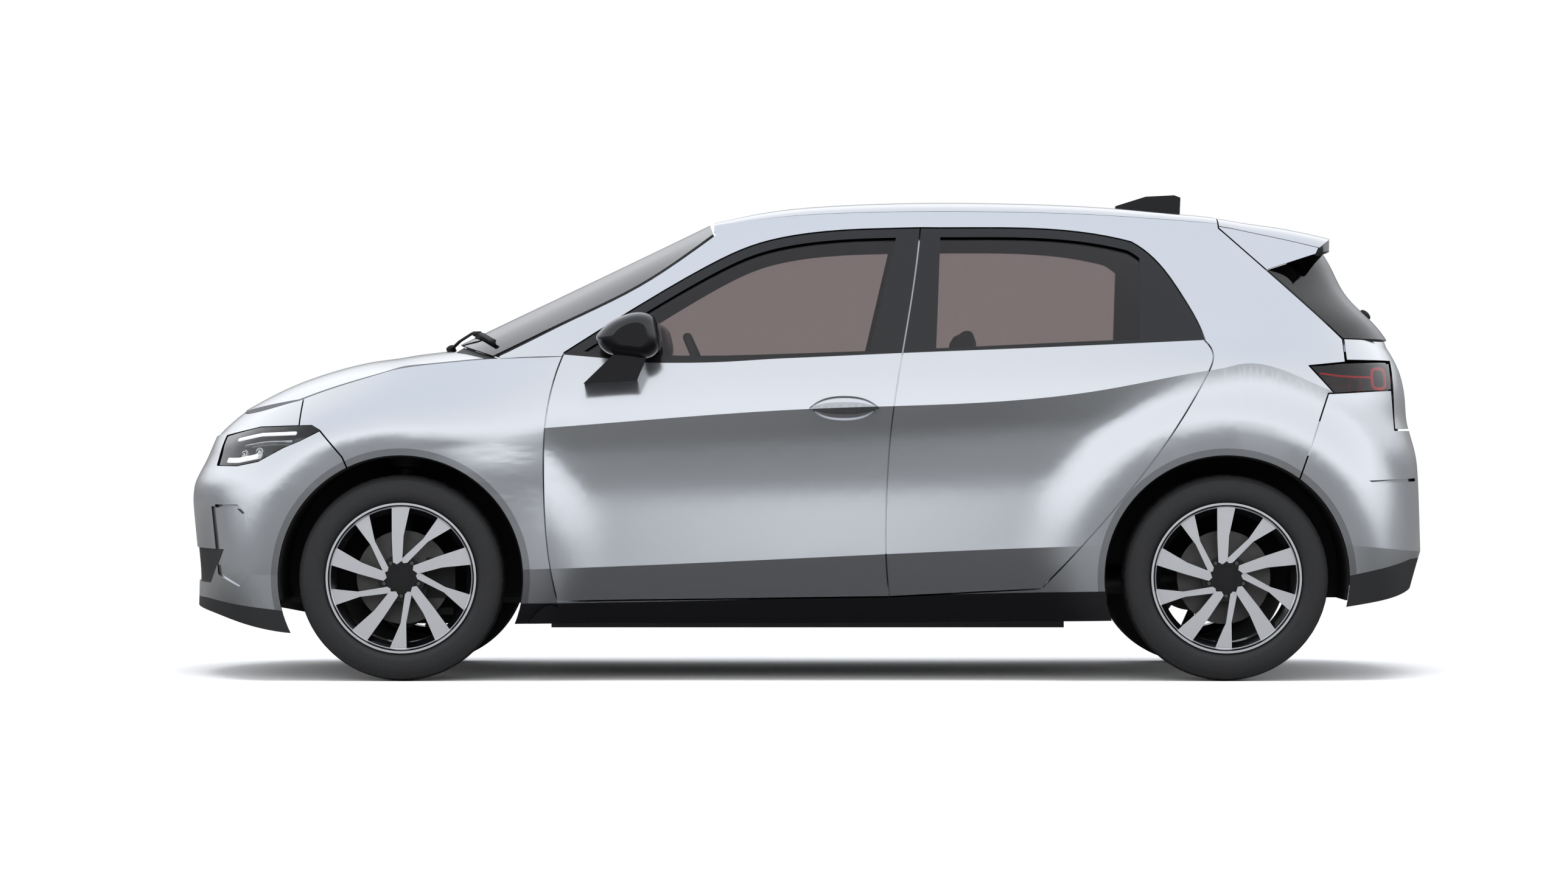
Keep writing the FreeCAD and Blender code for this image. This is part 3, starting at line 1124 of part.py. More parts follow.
disc_room = Part.makeCylinder(
    disc_r + gap, disc_t + 2 * gap, Vector(x_front, disc_y - disc_t / 2 - gap, tyre_radius), Vector(0, 1, 0))
arm = box((x_front, x_front + 1.1 * disc_r), (carrier_y, carrier_y + disc_t), (tyre_radius - 30, tyre_radius + 30))
steer_arm = box(
    (x_front, x_front + 1.05 * disc_r), (carrier_y + disc_t / 2, carrier_y + disc_t * 1.5), (carrier_low, carrier_low + disc_t))
stub_bore = tube((x_front, stub_end + gap, tyre_radius), (x_front, carrier_y - gap, tyre_radius), size("stub_radius") + seat_gap)
knuckle = joined(carrier, joint_pin, strut, spring, seat_plate, top_plate, caliper.cut(disc_room), arm, steer_arm).cut(stub_bore)
keep("knuckle_left", knuckle)
keep("knuckle_right", mirrored(knuckle))

# Front lower arms and tie rods under the drive unit, and the rear beam with its trailing arms.
arm_top = king_low.z - seat_gap
lower_arm = joined(
    Part.makeCylinder(joint_radius, arm_t, Vector(king_low.x, king_low.y, arm_top - arm_t)),
    box((x_front - arm_t * 0.6, x_front + arm_t * 0.6), (king_low.y, -0.2 * half_width), (arm_top - arm_t, arm_top)),
    box((x_front - arm_t, x_front + 9 * arm_t), (-0.30 * half_width, 0), (arm_top - arm_t, arm_top)))
subframe = joined(
    lower_arm, mirrored(lower_arm),
    box((x_front - 4 * arm_t, x_front + 9 * arm_t), (-0.34 * half_width, 0.34 * half_width), (arm_top, floor_z - seat_gap)))
keep("front_subframe", subframe)
beam_r = size("beam_radius")
arm_y = -0.66 * half_width
pivot = (rear_wall_x - floor_t / 2, arm_y, floor_z + floor_t + beam_r * 0.75 + seat_gap)
hub_point = (x_rear, arm_y, tyre_radius)
rear_disc_y = left_y + size("disc_offset") + disc_t / 2 + gap
rear_arm = joined(
    tube(pivot, hub_point, beam_r * 0.75), tube((pivot[0], arm_y, pivot[2]), (pivot[0], -boot_half - seat_gap, pivot[2]), beam_r * 0.6),
    Part.makeCylinder(beam_r, abs(rear_disc_y - arm_y) + beam_r / 2, Vector(x_rear, rear_disc_y, tyre_radius), Vector(0, 1, 0)))
rear_arm = rear_arm.cut(tube((x_rear, rear_disc_y - gap, tyre_radius), (x_rear, stub_end + gap, tyre_radius), size("stub_radius") + seat_gap))
cross = tube((x_rear - 6 * beam_r, arm_y, tyre_radius - beam_r * 0.7), (x_rear - 6 * beam_r, -arm_y, tyre_radius - beam_r * 0.7), beam_r * 0.8)
rear_axle = joined(cross, rear_arm, mirrored(rear_arm))
keep("rear_axle", rear_axle)

# Cabin: dashboard, steering wheel, seats.
dash_front = firewall_x + floor_t + seat_gap
DASH = [(dash_front, 0.40 * body_height), (dash_front, 0.63 * body_height), at(0.23, 0.655), at(0.30, 0.648), at(0.325, 0.60), at(0.31, 0.53), at(0.25, 0.45)]
dash = polygon(*DASH)
dash.translate(Vector(0, -0.74 * half_width, 0))
dash = dash.extrude(Vector(0, 1.48 * half_width, 0))
wheel_centre = Vector(station_x(0.372), -size("seat_spacing") / 2, 0.60 * body_height)
wheel_lean = Vector(-math.cos(math.radians(24)), 0, -math.sin(math.radians(24)))
steer_r = size("steering_wheel_radius")
column_end = wheel_centre + wheel_lean * steer_r
column_radius = size("stub_radius")
shaft = tube(wheel_centre, column_end, column_radius)
steering = joined(
    Part.makeTorus(steer_r, size("steering_rim_radius"), wheel_centre, wheel_lean),
    tube(wheel_centre - wheel_lean * column_radius, wheel_centre + wheel_lean * column_radius * 2, column_radius * 2.4), shaft)
across = Vector(0, 1, 0)
down = wheel_lean.cross(across)
for way in (across, across * -1, down if down.z < 0 else down * -1):
    spoke = tube(wheel_centre, wheel_centre + way * steer_r, column_radius / 2)
    steering = steering.fuse(spoke)
keep("steering_wheel", steering)
dash = dash.cut(tube(wheel_centre, column_end + wheel_lean * gap, column_radius + seat_gap))
keep("dashboard", dash)
seat_w = size("seat_width")
floor_top = floor_z + floor_t + seat_gap


def seat_at(x, y, width, depth, top):
    """A seat: base, cushion, leaning back and head rest."""
    low, high = y - width / 2, y + width / 2
    back = size("seat_back")
    cushion = box((x, x + depth), (low, high), (floor_top + 60, floor_top + 60 + size("seat_cushion")))
    base = box((x + 40, x + depth - 40), (low + 50, high - 50), (floor_top, floor_top + 60))
    lean = depth * 0.3
    profile = [(x + depth - back, floor_top + 130), (x + depth, floor_top + 130), (x + depth + lean, top),
               (x + depth + lean - back * 0.8, top)]
    rest = polygon(*profile)
    rest.translate(Vector(0, low, 0))
    return joined(cushion, base, rest.extrude(Vector(0, width, 0)))


def head_rest(x, y, z):
    return box((x - 70, x), (y - 130, y + 130), (z + 20, z + 170)).fuse(
        box((x - 45, x - 25), (y - 60, y + 60), (z - 40, z + 30)))


front_seats = []
for y in (-size("seat_spacing") / 2, size("seat_spacing") / 2):
    front_seats.append(seat_at(station_x(0.43), y, seat_w, 560, 0.62 * body_height).fuse(
        head_rest(station_x(0.43) + 560 + 150, y, 0.62 * body_height)))
keep("front_seats", *front_seats)
bench_x = station_x(0.76)
bench = seat_at(bench_x, 0, 2 * boot_half, 480, 0.64 * body_height).cut(
    box((rear_wall_x - floor_t - seat_gap, overrun * 2), (-overrun, overrun), (0, boot_z + floor_t + seat_gap)))
keep("rear_seat", bench)

# Door mirrors.
MIRROR_HEAD = [
    at(0.2385, 0.706), at(0.252, 0.729), at(0.272, 0.746), at(0.294, 0.751), at(0.308, 0.741), at(0.3145, 0.716),
    at(0.3155, 0.680), at(0.302, 0.659), at(0.276, 0.661), at(0.247, 0.672)]
head_low, head_high = -1.115 * half_width, -1.115 * half_width + size("mirror_width")
# Rings of the mirror head: share of its width from the outer end, share of the outline.
MIRROR_RING_SHARES = [(0, 0.52), (0.05, 0.74), (0.15, 0.9), (0.4, 1), (0.75, 0.98), (0.93, 0.9), (1, 0.8)]
head_x = sum(x for x, z in MIRROR_HEAD) / len(MIRROR_HEAD)
head_z = sum(z for x, z in MIRROR_HEAD) / len(MIRROR_HEAD)


def mirror_ring(place, scale):
    y = head_low + place * size("mirror_width")
    ring = Part.BSplineCurve()
    ring.interpolate([Vector(mix(head_x, x, scale), y, mix(head_z, z, scale)) for x, z in MIRROR_HEAD], PeriodicFlag=True)
    return Part.Wire(ring.toShape())


head = Part.makeLoft([mirror_ring(*ring) for ring in MIRROR_RING_SHARES], True)
foot = outline([at(0.222, 0.606), at(0.287, 0.612)], [at(0.287, 0.612), at(0.30, 0.668)], [at(0.30, 0.668), at(0.26, 0.668)], [at(0.26, 0.668), at(0.222, 0.606)])
foot.translate(Vector(0, head_low + 50, 0))
foot = foot.extrude(Vector(0, size("mirror_width") + 100, 0))
mirror_blank = side_slab(steps(0.19, 0.36, 8), DOOR_LEVELS, even_depth(-seat_gap), even_depth(size("door_depth") * 4))
mirror = max(head.fuse(foot).cut(mirror_blank).Solids, key=lambda solid: solid.Volume)
keep("mirror_left", mirror)
keep("mirror_right", mirrored(mirror))

# Roof antenna.
FIN = [at(0.880, 0.95), at(0.884, 0.990), at(0.922, 1.010), at(0.958, 1.013), at(0.966, 1.008), at(0.9645, 0.95)]
fin = polygon(*FIN)
fin.translate(Vector(0, -size("fin_width") / 2, 0))
fin = fin.extrude(Vector(0, size("fin_width"), 0))
fin_floor = slab([(roof_net(roof_stations, roof_levels, -seat_gap), roof_net(roof_stations, roof_levels, size("roof_depth") * 3))])
fin = max(fin.cut(fin_floor).Solids, key=lambda solid: solid.BoundBox.ZMax)
keep("antenna", fin)

os.makedirs("parts", exist_ok=True)
doc.recompute()
for name, feature in parts.items():
    feature.Shape.exportStep("parts/%s.step" % name)
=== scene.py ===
import math
import bmesh
import bpy
from mathutils import Matrix, Vector
from mathutils.bvhtree import BVHTree


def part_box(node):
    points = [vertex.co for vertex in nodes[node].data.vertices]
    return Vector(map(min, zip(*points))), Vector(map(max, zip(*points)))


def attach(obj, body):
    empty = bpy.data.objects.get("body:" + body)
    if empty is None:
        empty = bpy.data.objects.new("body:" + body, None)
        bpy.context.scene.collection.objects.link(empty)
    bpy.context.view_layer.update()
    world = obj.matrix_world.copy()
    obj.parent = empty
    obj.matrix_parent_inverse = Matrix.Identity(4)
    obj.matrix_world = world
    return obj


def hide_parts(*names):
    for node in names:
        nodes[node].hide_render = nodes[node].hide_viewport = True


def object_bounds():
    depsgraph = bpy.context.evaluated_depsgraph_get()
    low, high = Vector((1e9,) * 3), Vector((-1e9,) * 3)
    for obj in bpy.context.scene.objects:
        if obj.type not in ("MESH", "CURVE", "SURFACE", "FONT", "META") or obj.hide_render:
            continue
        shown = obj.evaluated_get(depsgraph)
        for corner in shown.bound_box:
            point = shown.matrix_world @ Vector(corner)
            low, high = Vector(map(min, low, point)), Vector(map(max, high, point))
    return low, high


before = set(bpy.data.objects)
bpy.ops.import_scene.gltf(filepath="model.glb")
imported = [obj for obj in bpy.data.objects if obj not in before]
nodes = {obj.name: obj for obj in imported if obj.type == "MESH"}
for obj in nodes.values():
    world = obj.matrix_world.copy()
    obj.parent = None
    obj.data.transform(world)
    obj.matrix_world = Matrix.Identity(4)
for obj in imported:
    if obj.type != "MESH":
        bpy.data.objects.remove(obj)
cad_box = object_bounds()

SIDES = ("left", "right")
WHEELS = ("front_left", "front_right", "rear_left", "rear_right")

# Driving dimensions, read from the frame in metres.
tyre_low, tyre_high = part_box("tyre_front_left")
WHEEL_R = (tyre_high.z - tyre_low.z) / 2
WHEEL_W = tyre_high.y - tyre_low.y
AXLE_FRONT = (tyre_low.x + tyre_high.x) / 2
AXLE_REAR = sum(corner.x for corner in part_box("tyre_rear_left")) / 2
WHEEL_Y = abs(tyre_low.y + tyre_high.y) / 2
RIM_R = (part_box("rim_front_left")[1].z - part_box("rim_front_left")[0].z) / 2
RIM_FACE_Y = -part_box("rim_front_left")[0].y
SPOKE_SET_BACK, CAP_R = 0.0115, 0.040
CAR_HIGH = Vector(cad_box[1])


class Shader:
    """Builds one node material step by step."""

    def __init__(self, name):
        self.mat = bpy.data.materials.new(name)
        self.mat.use_nodes = True
        self.tree = self.mat.node_tree
        self.bsdf = self.tree.nodes["Principled BSDF"]
        self.out = self.tree.nodes["Material Output"]

    def node(self, kind, props=None, **inputs):
        made = self.tree.nodes.new("ShaderNode" + kind)
        for key, value in (props or {}).items():
            setattr(made, key, value)
        for key, value in inputs.items():
            self.put(made.inputs[key.replace("_", " ")], value)
        return made

    def put(self, socket, value):
        if hasattr(value, "is_output"):
            self.tree.links.new(value, socket)
        elif hasattr(value, "__len__") and len(value) == 3 and socket.type == "RGBA":
            socket.default_value = (*value, 1.0)
        else:
            socket.default_value = value

    def set(self, **inputs):
        for key, value in inputs.items():
            self.put(self.bsdf.inputs[key.replace("_", " ")], value)

    def math(self, operation, a, b=0.0, clamp=False):
        made = self.node("Math", {"operation": operation, "use_clamp": clamp})
        self.put(made.inputs[0], a)
        self.put(made.inputs[1], b)
        return made.outputs[0]

    def add(self, a, b):
        return self.math("ADD", a, b)

    def sub(self, a, b):
        return self.math("SUBTRACT", a, b)

    def mul(self, a, b):
        return self.math("MULTIPLY", a, b)

    def above(self, a, b):
        return self.math("GREATER_THAN", a, b)

    def below(self, a, b):
        return self.math("LESS_THAN", a, b)

    def either(self, a, b):
        return self.math("MAXIMUM", a, b)

    def size_of(self, a):
        return self.math("ABSOLUTE", a)

    def invert(self, a):
        return self.sub(1.0, a)

    def length(self, a, b):
        return self.math("SQRT", self.add(self.mul(a, a), self.mul(b, b)))

    def ramp(self, value, low, high):
        """0 at low, 1 at high, straight between."""
        return self.math("MULTIPLY", self.sub(value, low), 1.0 / (high - low), clamp=True)

    def mix(self, share, a, b):
        made = self.node("Mix", {"data_type": "RGBA"})
        self.put(made.inputs[0], share)
        self.put(made.inputs[6], a)
        self.put(made.inputs[7], b)
        return made.outputs[2]

    def blend(self, share, a, b):
        return self.add(self.mul(self.invert(share), a), self.mul(share, b))

    def place(self):
        """The point in the row frame, whole and as x, y, z."""
        coord = self.node("TexCoord").outputs["Object"]
        return coord, self.node("SeparateXYZ", Vector=coord).outputs

    def noise(self, scale, detail=2.0, vector=None):
        made = self.node("TexNoise", Scale=scale, Detail=detail)
        if vector is not None:
            self.put(made.inputs["Vector"], vector)
        return made.outputs["Fac"]

    def bump(self, height, strength, distance):
        return self.node("Bump", Strength=strength, Distance=distance, Height=height).outputs["Normal"]

    def normal(self):
        """The surface's direction as x, y, z."""
        return self.node("SeparateXYZ", Vector=self.node("NewGeometry").outputs["Normal"]).outputs

    def outward(self, y, normal):
        """How far the surface faces away from the car's centre plane."""
        return self.mul(self.math("SIGN", y), normal[1])

    def from_axle(self, x):
        """How far x lies beyond the nearer axle."""
        middle, half = (AXLE_FRONT + AXLE_REAR) / 2, (AXLE_REAR - AXLE_FRONT) / 2
        return self.sub(self.size_of(self.sub(x, middle)), half)

    def curve(self, value, points):
        """A smooth line through (in, out) points, in metres."""
        low, high = points[0][0], points[-1][0]
        floor = min(out for _, out in points)
        rise = max(out for _, out in points) - floor
        made = self.node("FloatCurve")
        line = made.mapping.curves[0]
        line.points[0].location = (0.0, (points[0][1] - floor) / rise)
        line.points[-1].location = (1.0, (points[-1][1] - floor) / rise)
        for place, out in points[1:-1]:
            line.points.new((place - low) / (high - low), (out - floor) / rise)
        made.mapping.update()
        self.put(made.inputs["Value"], self.ramp(value, low, high))
        return self.add(self.mul(made.outputs[0], rise), floor)


def rgb(red, green, blue):
    """A screen colour, 0 to 255, as linear light."""
    def linear(value):
        value /= 255.0
        return value / 12.92 if value <= 0.04045 else ((value + 0.055) / 1.055) ** 2.4
    return (linear(red), linear(green), linear(blue), 1.0)


def darker(colour, share):
    return tuple(part * share for part in colour[:3]) + (1.0,)


# The seats' middles, and the sewn channels of their cloth.
SEAT_MIDDLE, CHANNEL, CHANNEL_REACH = 0.35, 0.055, 0.15

# Lines of the black areas in the side view, as (x, z).
BELT_EDGE = [(-0.80, 1.032), (-0.64, 1.018), (-0.464, 1.003), (-0.057, 1.018), (0.298, 1.034),
             (0.7, 1.050), (1.098, 1.068), (1.35, 1.080)]
SILL_EDGE = [(-0.95, 0.246), (-0.80, 0.246), (0.0, 0.262), (0.73, 0.280), (1.0, 0.285)]
SPOILER_EDGE = [(1.20, 1.205), (1.4675, 1.297), (1.75, 1.395)]
HATCH_BELT_Z = 1.083
# The band of painted shade along the wheel arches, where the lip faces down, counted out from the tyre.
LIP_INNER, LIP_OUTER = 0.04, 0.083
GLOSS_BLACK = rgb(12, 12, 14)
SILVER_LIGHT, SILVER_DARK = rgb(230, 233, 237), rgb(210, 213, 218)
ARCH_LIP_SHADE, INNER_GREY = rgb(70, 71, 74), rgb(44, 44, 46)
# How far a surface may turn from the light before it counts as hidden structure.
UNDERSIDE, INNER_SIDE, HATCH_UNDERSIDE = -0.3, -0.45, -0.35


def silver(name, black="", inner=INNER_GREY):
    """Metallic silver under clear coat; black says which black area its pieces have."""
    s = Shader(name)
    where, (x, y, z) = s.place()
    normal = s.normal()
    dark = 0.0
    if black == "frame":
        dark = s.above(z, s.curve(x, BELT_EDGE))
    if black == "sill":
        dark = s.below(z, s.curve(x, SILL_EDGE))
    if black == "hatch":
        under_spoiler = s.below(z, s.curve(x, SPOILER_EDGE))
        dark = s.mul(s.either(under_spoiler, s.below(normal[2], HATCH_UNDERSIDE)), s.above(z, HATCH_BELT_Z))
    if black in ("frame", "sill"):
        hidden = s.below(s.outward(y, normal), INNER_SIDE)
    else:
        hidden = s.below(normal[2], UNDERSIDE)
    if black == "hatch":
        hidden = s.mul(hidden, s.below(normal[0], 0.2))
    flakes = s.node("TexVoronoi", Scale=2400.0, Vector=where).outputs["Color"]
    base = s.mix(s.mul(flakes, 0.35), SILVER_DARK, SILVER_LIGHT)
    from_wheel = s.length(s.from_axle(x), s.sub(z, WHEEL_R))
    # The arch lip band is greyed: painted shade for its downward-facing facet.
    lip_shade = s.mul(s.below(from_wheel, WHEEL_R + LIP_OUTER), s.above(from_wheel, WHEEL_R + LIP_INNER))
    base = s.mix(s.mul(lip_shade, 0.45), base, ARCH_LIP_SHADE)
    colour = s.mix(hidden, s.mix(dark, base, GLOSS_BLACK), inner)
    painted = s.invert(s.either(dark, hidden))
    coat = s.mul(s.invert(hidden), s.blend(dark, 0.9, 0.4))
    peel = s.bump(s.noise(260.0, 1.0, where), 0.01, 0.0005)
    s.set(Base_Color=colour, Metallic=s.mul(painted, 0.94), Roughness=s.blend(hidden, 0.16, 0.75),
          Specular_IOR_Level=s.blend(dark, 0.5, 0.35), Coat_Weight=coat, Coat_Roughness=0.04, Normal=peel)
    return s.mat


def plastic(name, colour, roughness, grain=900.0, depth=0.15, coat=0.0):
    """Moulded plastic with a fine grain; coat makes it glossy."""
    s = Shader(name)
    where, _ = s.place()
    grainy = s.noise(grain, 3.0, where)
    tone = s.noise(7.0, 2.0, where)
    s.set(Base_Color=s.mix(tone, darker(colour, 0.82), colour),
          Roughness=s.add(s.mul(grainy, 0.12), roughness - 0.06),
          Normal=s.bump(grainy, depth, 0.0008), Coat_Weight=coat, Coat_Roughness=0.03)
    return s.mat


def metal(name, colour, roughness, scale=220.0, metallic=1.0):
    """Cast or machined metal, or metal under paint where metallic is low."""
    s = Shader(name)
    where, _ = s.place()
    cast = s.noise(scale, 4.0, where)
    tone = s.noise(scale / 12, 2.0, where)
    s.set(Base_Color=s.mix(tone, darker(colour, 0.7), colour), Metallic=metallic,
          Roughness=s.add(s.mul(cast, 0.16), roughness - 0.08), Normal=s.bump(cast, 0.12, 0.001))
    return s.mat


def pane(name, tint, strength=1.0):
    """Thin glass: dims what is behind it and mirrors what is before it."""
    s = Shader(name)
    where, _ = s.place()
    wave = s.bump(s.noise(3.0, 1.0, where), 0.02, 0.01)
    clear = s.node("BsdfTransparent", Color=(*tint, 1.0))
    shine = s.node("BsdfGlossy", Color=(strength, strength, strength, 1.0), Roughness=0.015, Normal=wave)
    mixed = s.node("MixShader")
    s.put(mixed.inputs[0], s.node("Fresnel", IOR=1.5, Normal=wave).outputs[0])
    s.put(mixed.inputs[1], clear.outputs[0])
    s.put(mixed.inputs[2], shine.outputs[0])
    s.put(s.out.inputs["Surface"], mixed.outputs[0])
    return s.mat


def glow(name, colour, strength):
    """A lamp's light guide: milky plastic with a little light of its own."""
    s = Shader(name)
    where, _ = s.place()
    ribs = s.math("SINE", s.mul(s.node("SeparateXYZ", Vector=where).outputs[0], 1600.0))
    tone = s.add(s.mul(ribs, 0.05), 0.95)
    s.set(Base_Color=s.mix(tone, darker(colour, 0.5), colour), Roughness=0.2,
          Emission_Color=colour, Emission_Strength=s.mul(tone, strength))
    return s.mat


def rubber(name):
    """Matt tyre rubber with fine rings and ribs on the sidewall."""
    s = Shader(name)
    where, (x, _, z) = s.place()
    along, up = s.from_axle(x), s.sub(z, WHEEL_R)
    radius = s.length(along, up)
    side = s.below(radius, WHEEL_R * 0.95)
    rings = s.mul(s.math("SINE", s.mul(radius, 1400.0)), side)
    band = s.mul(s.above(radius, WHEEL_R * 0.80), s.below(radius, WHEEL_R * 0.83))
    ribs = s.mul(s.math("SINE", s.mul(s.math("ARCTAN2", up, along), 300.0)), band)
    grain = s.noise(900.0, 3.0, where)
    height = s.add(s.add(s.mul(rings, 0.1), s.mul(ribs, 0.25)), s.mul(grain, 0.2))
    s.set(Base_Color=s.mix(grain, rgb(24, 24, 25), rgb(33, 33, 34)), Roughness=s.blend(side, 0.85, 0.62),
          Normal=s.bump(height, 0.5, 0.003))
    return s.mat


def two_tone_rim(name):
    """Machined spoke faces over gloss black."""
    s = Shader(name)
    where, (x, y, z) = s.place()
    radius = s.length(s.from_axle(x), s.sub(z, WHEEL_R))
    outer = s.above(s.size_of(y), RIM_FACE_Y - SPOKE_SET_BACK)
    facing = s.above(s.outward(y, s.normal()), 0.6)
    past_hub = s.above(radius, CAP_R)
    lip_gap = s.invert(s.mul(s.above(radius, RIM_R * 0.951), s.below(radius, RIM_R * 0.972)))
    machined = s.mul(s.mul(outer, facing), s.mul(past_hub, lip_gap))
    turning = s.math("SINE", s.mul(radius, 2600.0))
    grain = s.noise(500.0, 2.0, where)
    s.set(Base_Color=s.mix(machined, GLOSS_BLACK, rgb(226, 227, 230)), Metallic=s.mul(machined, 0.85),
          Roughness=s.blend(machined, 0.14, s.add(s.mul(grain, 0.1), 0.3)),
          Coat_Weight=s.blend(machined, 0.6, 0.1), Normal=s.bump(s.mul(turning, machined), 0.1, 0.0004))
    return s.mat


def cloth(name, colour):
    """Woven seat cloth, with sewn channels across it."""
    s = Shader(name)
    where, (x, y, z) = s.place()
    warp = s.math("SINE", s.mul(y, 2400.0))
    weft = s.math("SINE", s.mul(s.add(x, z), 2400.0))
    weave = s.mul(warp, weft)
    fold = s.math("POWER", s.size_of(s.math("SINE", s.mul(s.add(x, z), math.pi / CHANNEL))), 0.25)
    middle = s.below(s.size_of(s.sub(s.size_of(y), SEAT_MIDDLE)), CHANNEL_REACH)
    stitched = s.blend(middle, 1.0, fold)
    tone = s.noise(60.0, 4.0, where)
    s.set(Base_Color=s.mix(tone, darker(colour, 0.7), colour), Roughness=0.92, Sheen_Weight=0.3,
          Normal=s.bump(s.add(s.mul(weave, 0.08), stitched), 0.5, 0.006))
    return s.mat


paint_door = silver("paint_door", "frame")
paint_side = silver("paint_side", "sill")
paint_roof = silver("paint_roof", inner=rgb(120, 119, 116))
paint_lid = silver("paint_lid")
paint_hatch = silver("paint_hatch", "hatch")
gloss_black = plastic("gloss_black", GLOSS_BLACK, 0.16, 500.0, 0.01, 0.5)
grained_black = plastic("grained_black", rgb(26, 26, 27), 0.55)
rubber_black = plastic("rubber_black", rgb(18, 18, 18), 0.7, 600.0, 0.2)
liner_felt = plastic("liner_felt", rgb(16, 16, 17), 0.95, 500.0, 0.4)
dash_soft = plastic("dash_soft", rgb(42, 41, 42), 0.62, 700.0, 0.3)
grip_leather = plastic("grip_leather", rgb(22, 22, 23), 0.42, 650.0, 0.35)
chassis_black = metal("chassis_black", rgb(30, 30, 32), 0.55, 300.0, 0.2)
disc_iron = metal("disc_iron", rgb(128, 126, 124), 0.36, 420.0)
pack_alloy = metal("pack_alloy", rgb(62, 63, 66), 0.55, 160.0, 0.5)
bright_trim = metal("bright_trim", rgb(196, 198, 202), 0.16, 900.0)
mirror_silver = metal("mirror_silver", rgb(235, 236, 238), 0.09, 900.0)
tyre_rubber = rubber("tyre_rubber")
rim_finish = two_tone_rim("rim_finish")
seat_cloth = cloth("seat_cloth", rgb(62, 61, 63))
side_glass = pane("side_glass", (0.660, 0.622, 0.620), 0.8)
screen_glass = pane("screen_glass", (0.80, 0.81, 0.82))
lens_clear = pane("lens_clear", (0.90, 0.91, 0.92))
lens_smoked = pane("lens_smoked", (0.42, 0.36, 0.36))
lamp_dark = plastic("lamp_dark", rgb(34, 35, 38), 0.2, 400.0, 0.02, 0.6)
lamp_white = glow("lamp_white", rgb(250, 252, 255), 0.75)
lamp_red = glow("lamp_red", rgb(200, 22, 40), 0.8)

LOOKS = {
    "door_": paint_door, "body_side": paint_side, "wings": paint_side,
    "roof_panel": paint_roof, "bonnet": paint_lid, "tailgate": paint_hatch, "front_bumper": paint_lid,
    "rear_bumper": paint_lid, "tailgate_glass": side_glass, "glass_": side_glass, "windscreen": screen_glass,
    "mirror": gloss_black, "antenna": gloss_black, "front_lip": grained_black, "rear_diffuser": grained_black,
    "cowl": grained_black, "arch_liners": liner_felt, "dashboard": dash_soft, "front_seats": seat_cloth,
    "rear_seat": seat_cloth, "steering_wheel": grip_leather, "floor_pan": chassis_black,
    "front_subframe": chassis_black, "rear_axle": chassis_black, "knuckle": chassis_black,
    "battery_pack": pack_alloy, "drive_unit": pack_alloy, "tyre": tyre_rubber, "rim_": rim_finish,
    "brake_disc": disc_iron, "headlamps": lamp_dark, "tail_lamps": lamp_dark, "handle": bright_trim,
}
for name, obj in nodes.items():
    best = max((key for key in LOOKS if name.startswith(key)), key=len)
    obj.data.materials.clear()
    obj.data.materials.append(LOOKS[best])


def placed(name, data):
    """A new object of the scene for a mesh, lamp or camera."""
    obj = bpy.data.objects.new(name, data)
    bpy.context.scene.collection.objects.link(obj)
    return obj


def piece(name, verts, faces, look, body, slot, smooth=True):
    """A mesh piece of the object that rides on a body."""
    mesh = bpy.data.meshes.new(name)
    mesh.from_pydata([tuple(v) for v in verts], [], faces)
    shaper = bmesh.new()
    shaper.from_mesh(mesh)
    bmesh.ops.remove_doubles(shaper, verts=shaper.verts, dist=1e-6)
    bmesh.ops.recalc_face_normals(shaper, faces=shaper.faces)
    shaper.to_mesh(mesh)
    shaper.free()
    mesh.materials.append(look)
    if smooth:
        mesh.shade_smooth()
    obj = placed(name, mesh)
    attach(obj, body)
    return obj


def swept(path, section, closed=False):
    """A section carried along (point, outward) pairs, capped at open ends."""
    verts, faces = [], []
    count, last = len(section), len(path) - 1
    for i, (point, outward) in enumerate(path):
        before = path[i - 1][0] if closed or i else point
        after = path[(i + 1) % len(path)][0] if closed or i < last else point
        along = (after - before).normalized()
        side = along.cross(outward).normalized()
        up = side.cross(along)
        verts += [point + side * a + up * b for a, b in section]
    for i in range(len(path) if closed else last):
        j = (i + 1) % len(path)
        for k in range(count):
            m = (k + 1) % count
            faces.append((i * count + k, i * count + m, j * count + m, j * count + k))
    if not closed:
        faces += [tuple(range(count)), tuple(range(last * count, (last + 1) * count))]
    return verts, faces


def oval(wide, high, count=12):
    """An ellipse's outline, as a section for swept."""
    turns = [2 * math.pi * k / count for k in range(count)]
    return [(wide / 2 * math.cos(a), high / 2 * math.sin(a)) for a in turns]


def strip(wide, high, round_share=0.3):
    """A flat bar's section with softened corners."""
    a, b = wide / 2, high / 2
    r = min(a, b) * round_share
    return [(-a + r, -b), (a - r, -b), (a, -b + r), (a, b - r),
            (a - r, b), (-a + r, b), (-a, b - r), (-a, -b + r)]


def lattice(rows, count):
    """The faces between rings of count points each, closed round every ring."""
    faces = []
    for i in range(rows - 1):
        for k in range(count):
            m = (k + 1) % count
            faces.append((i * count + k, i * count + m, (i + 1) * count + m, (i + 1) * count + k))
    return faces


def turned(profile, centre, axis, count=32):
    """A turned form: (distance along the axis, radius) pairs."""
    axis = Vector(axis).normalized()
    across = axis.orthogonal().normalized()
    other = axis.cross(across)
    verts = []
    for along, radius in profile:
        for k in range(count):
            a = 2 * math.pi * k / count
            spoke = across * math.cos(a) + other * math.sin(a)
            verts.append(Vector(centre) + axis * along + spoke * radius)
    faces = lattice(len(profile), count)
    faces += [tuple(range(count)), tuple(range((len(profile) - 1) * count, len(profile) * count))]
    return verts, faces


def together(*shapes):
    """Several shapes as one."""
    verts, faces = [], []
    for more_verts, more_faces in shapes:
        faces += [tuple(i + len(verts) for i in face) for face in more_faces]
        verts += more_verts
    return verts, faces


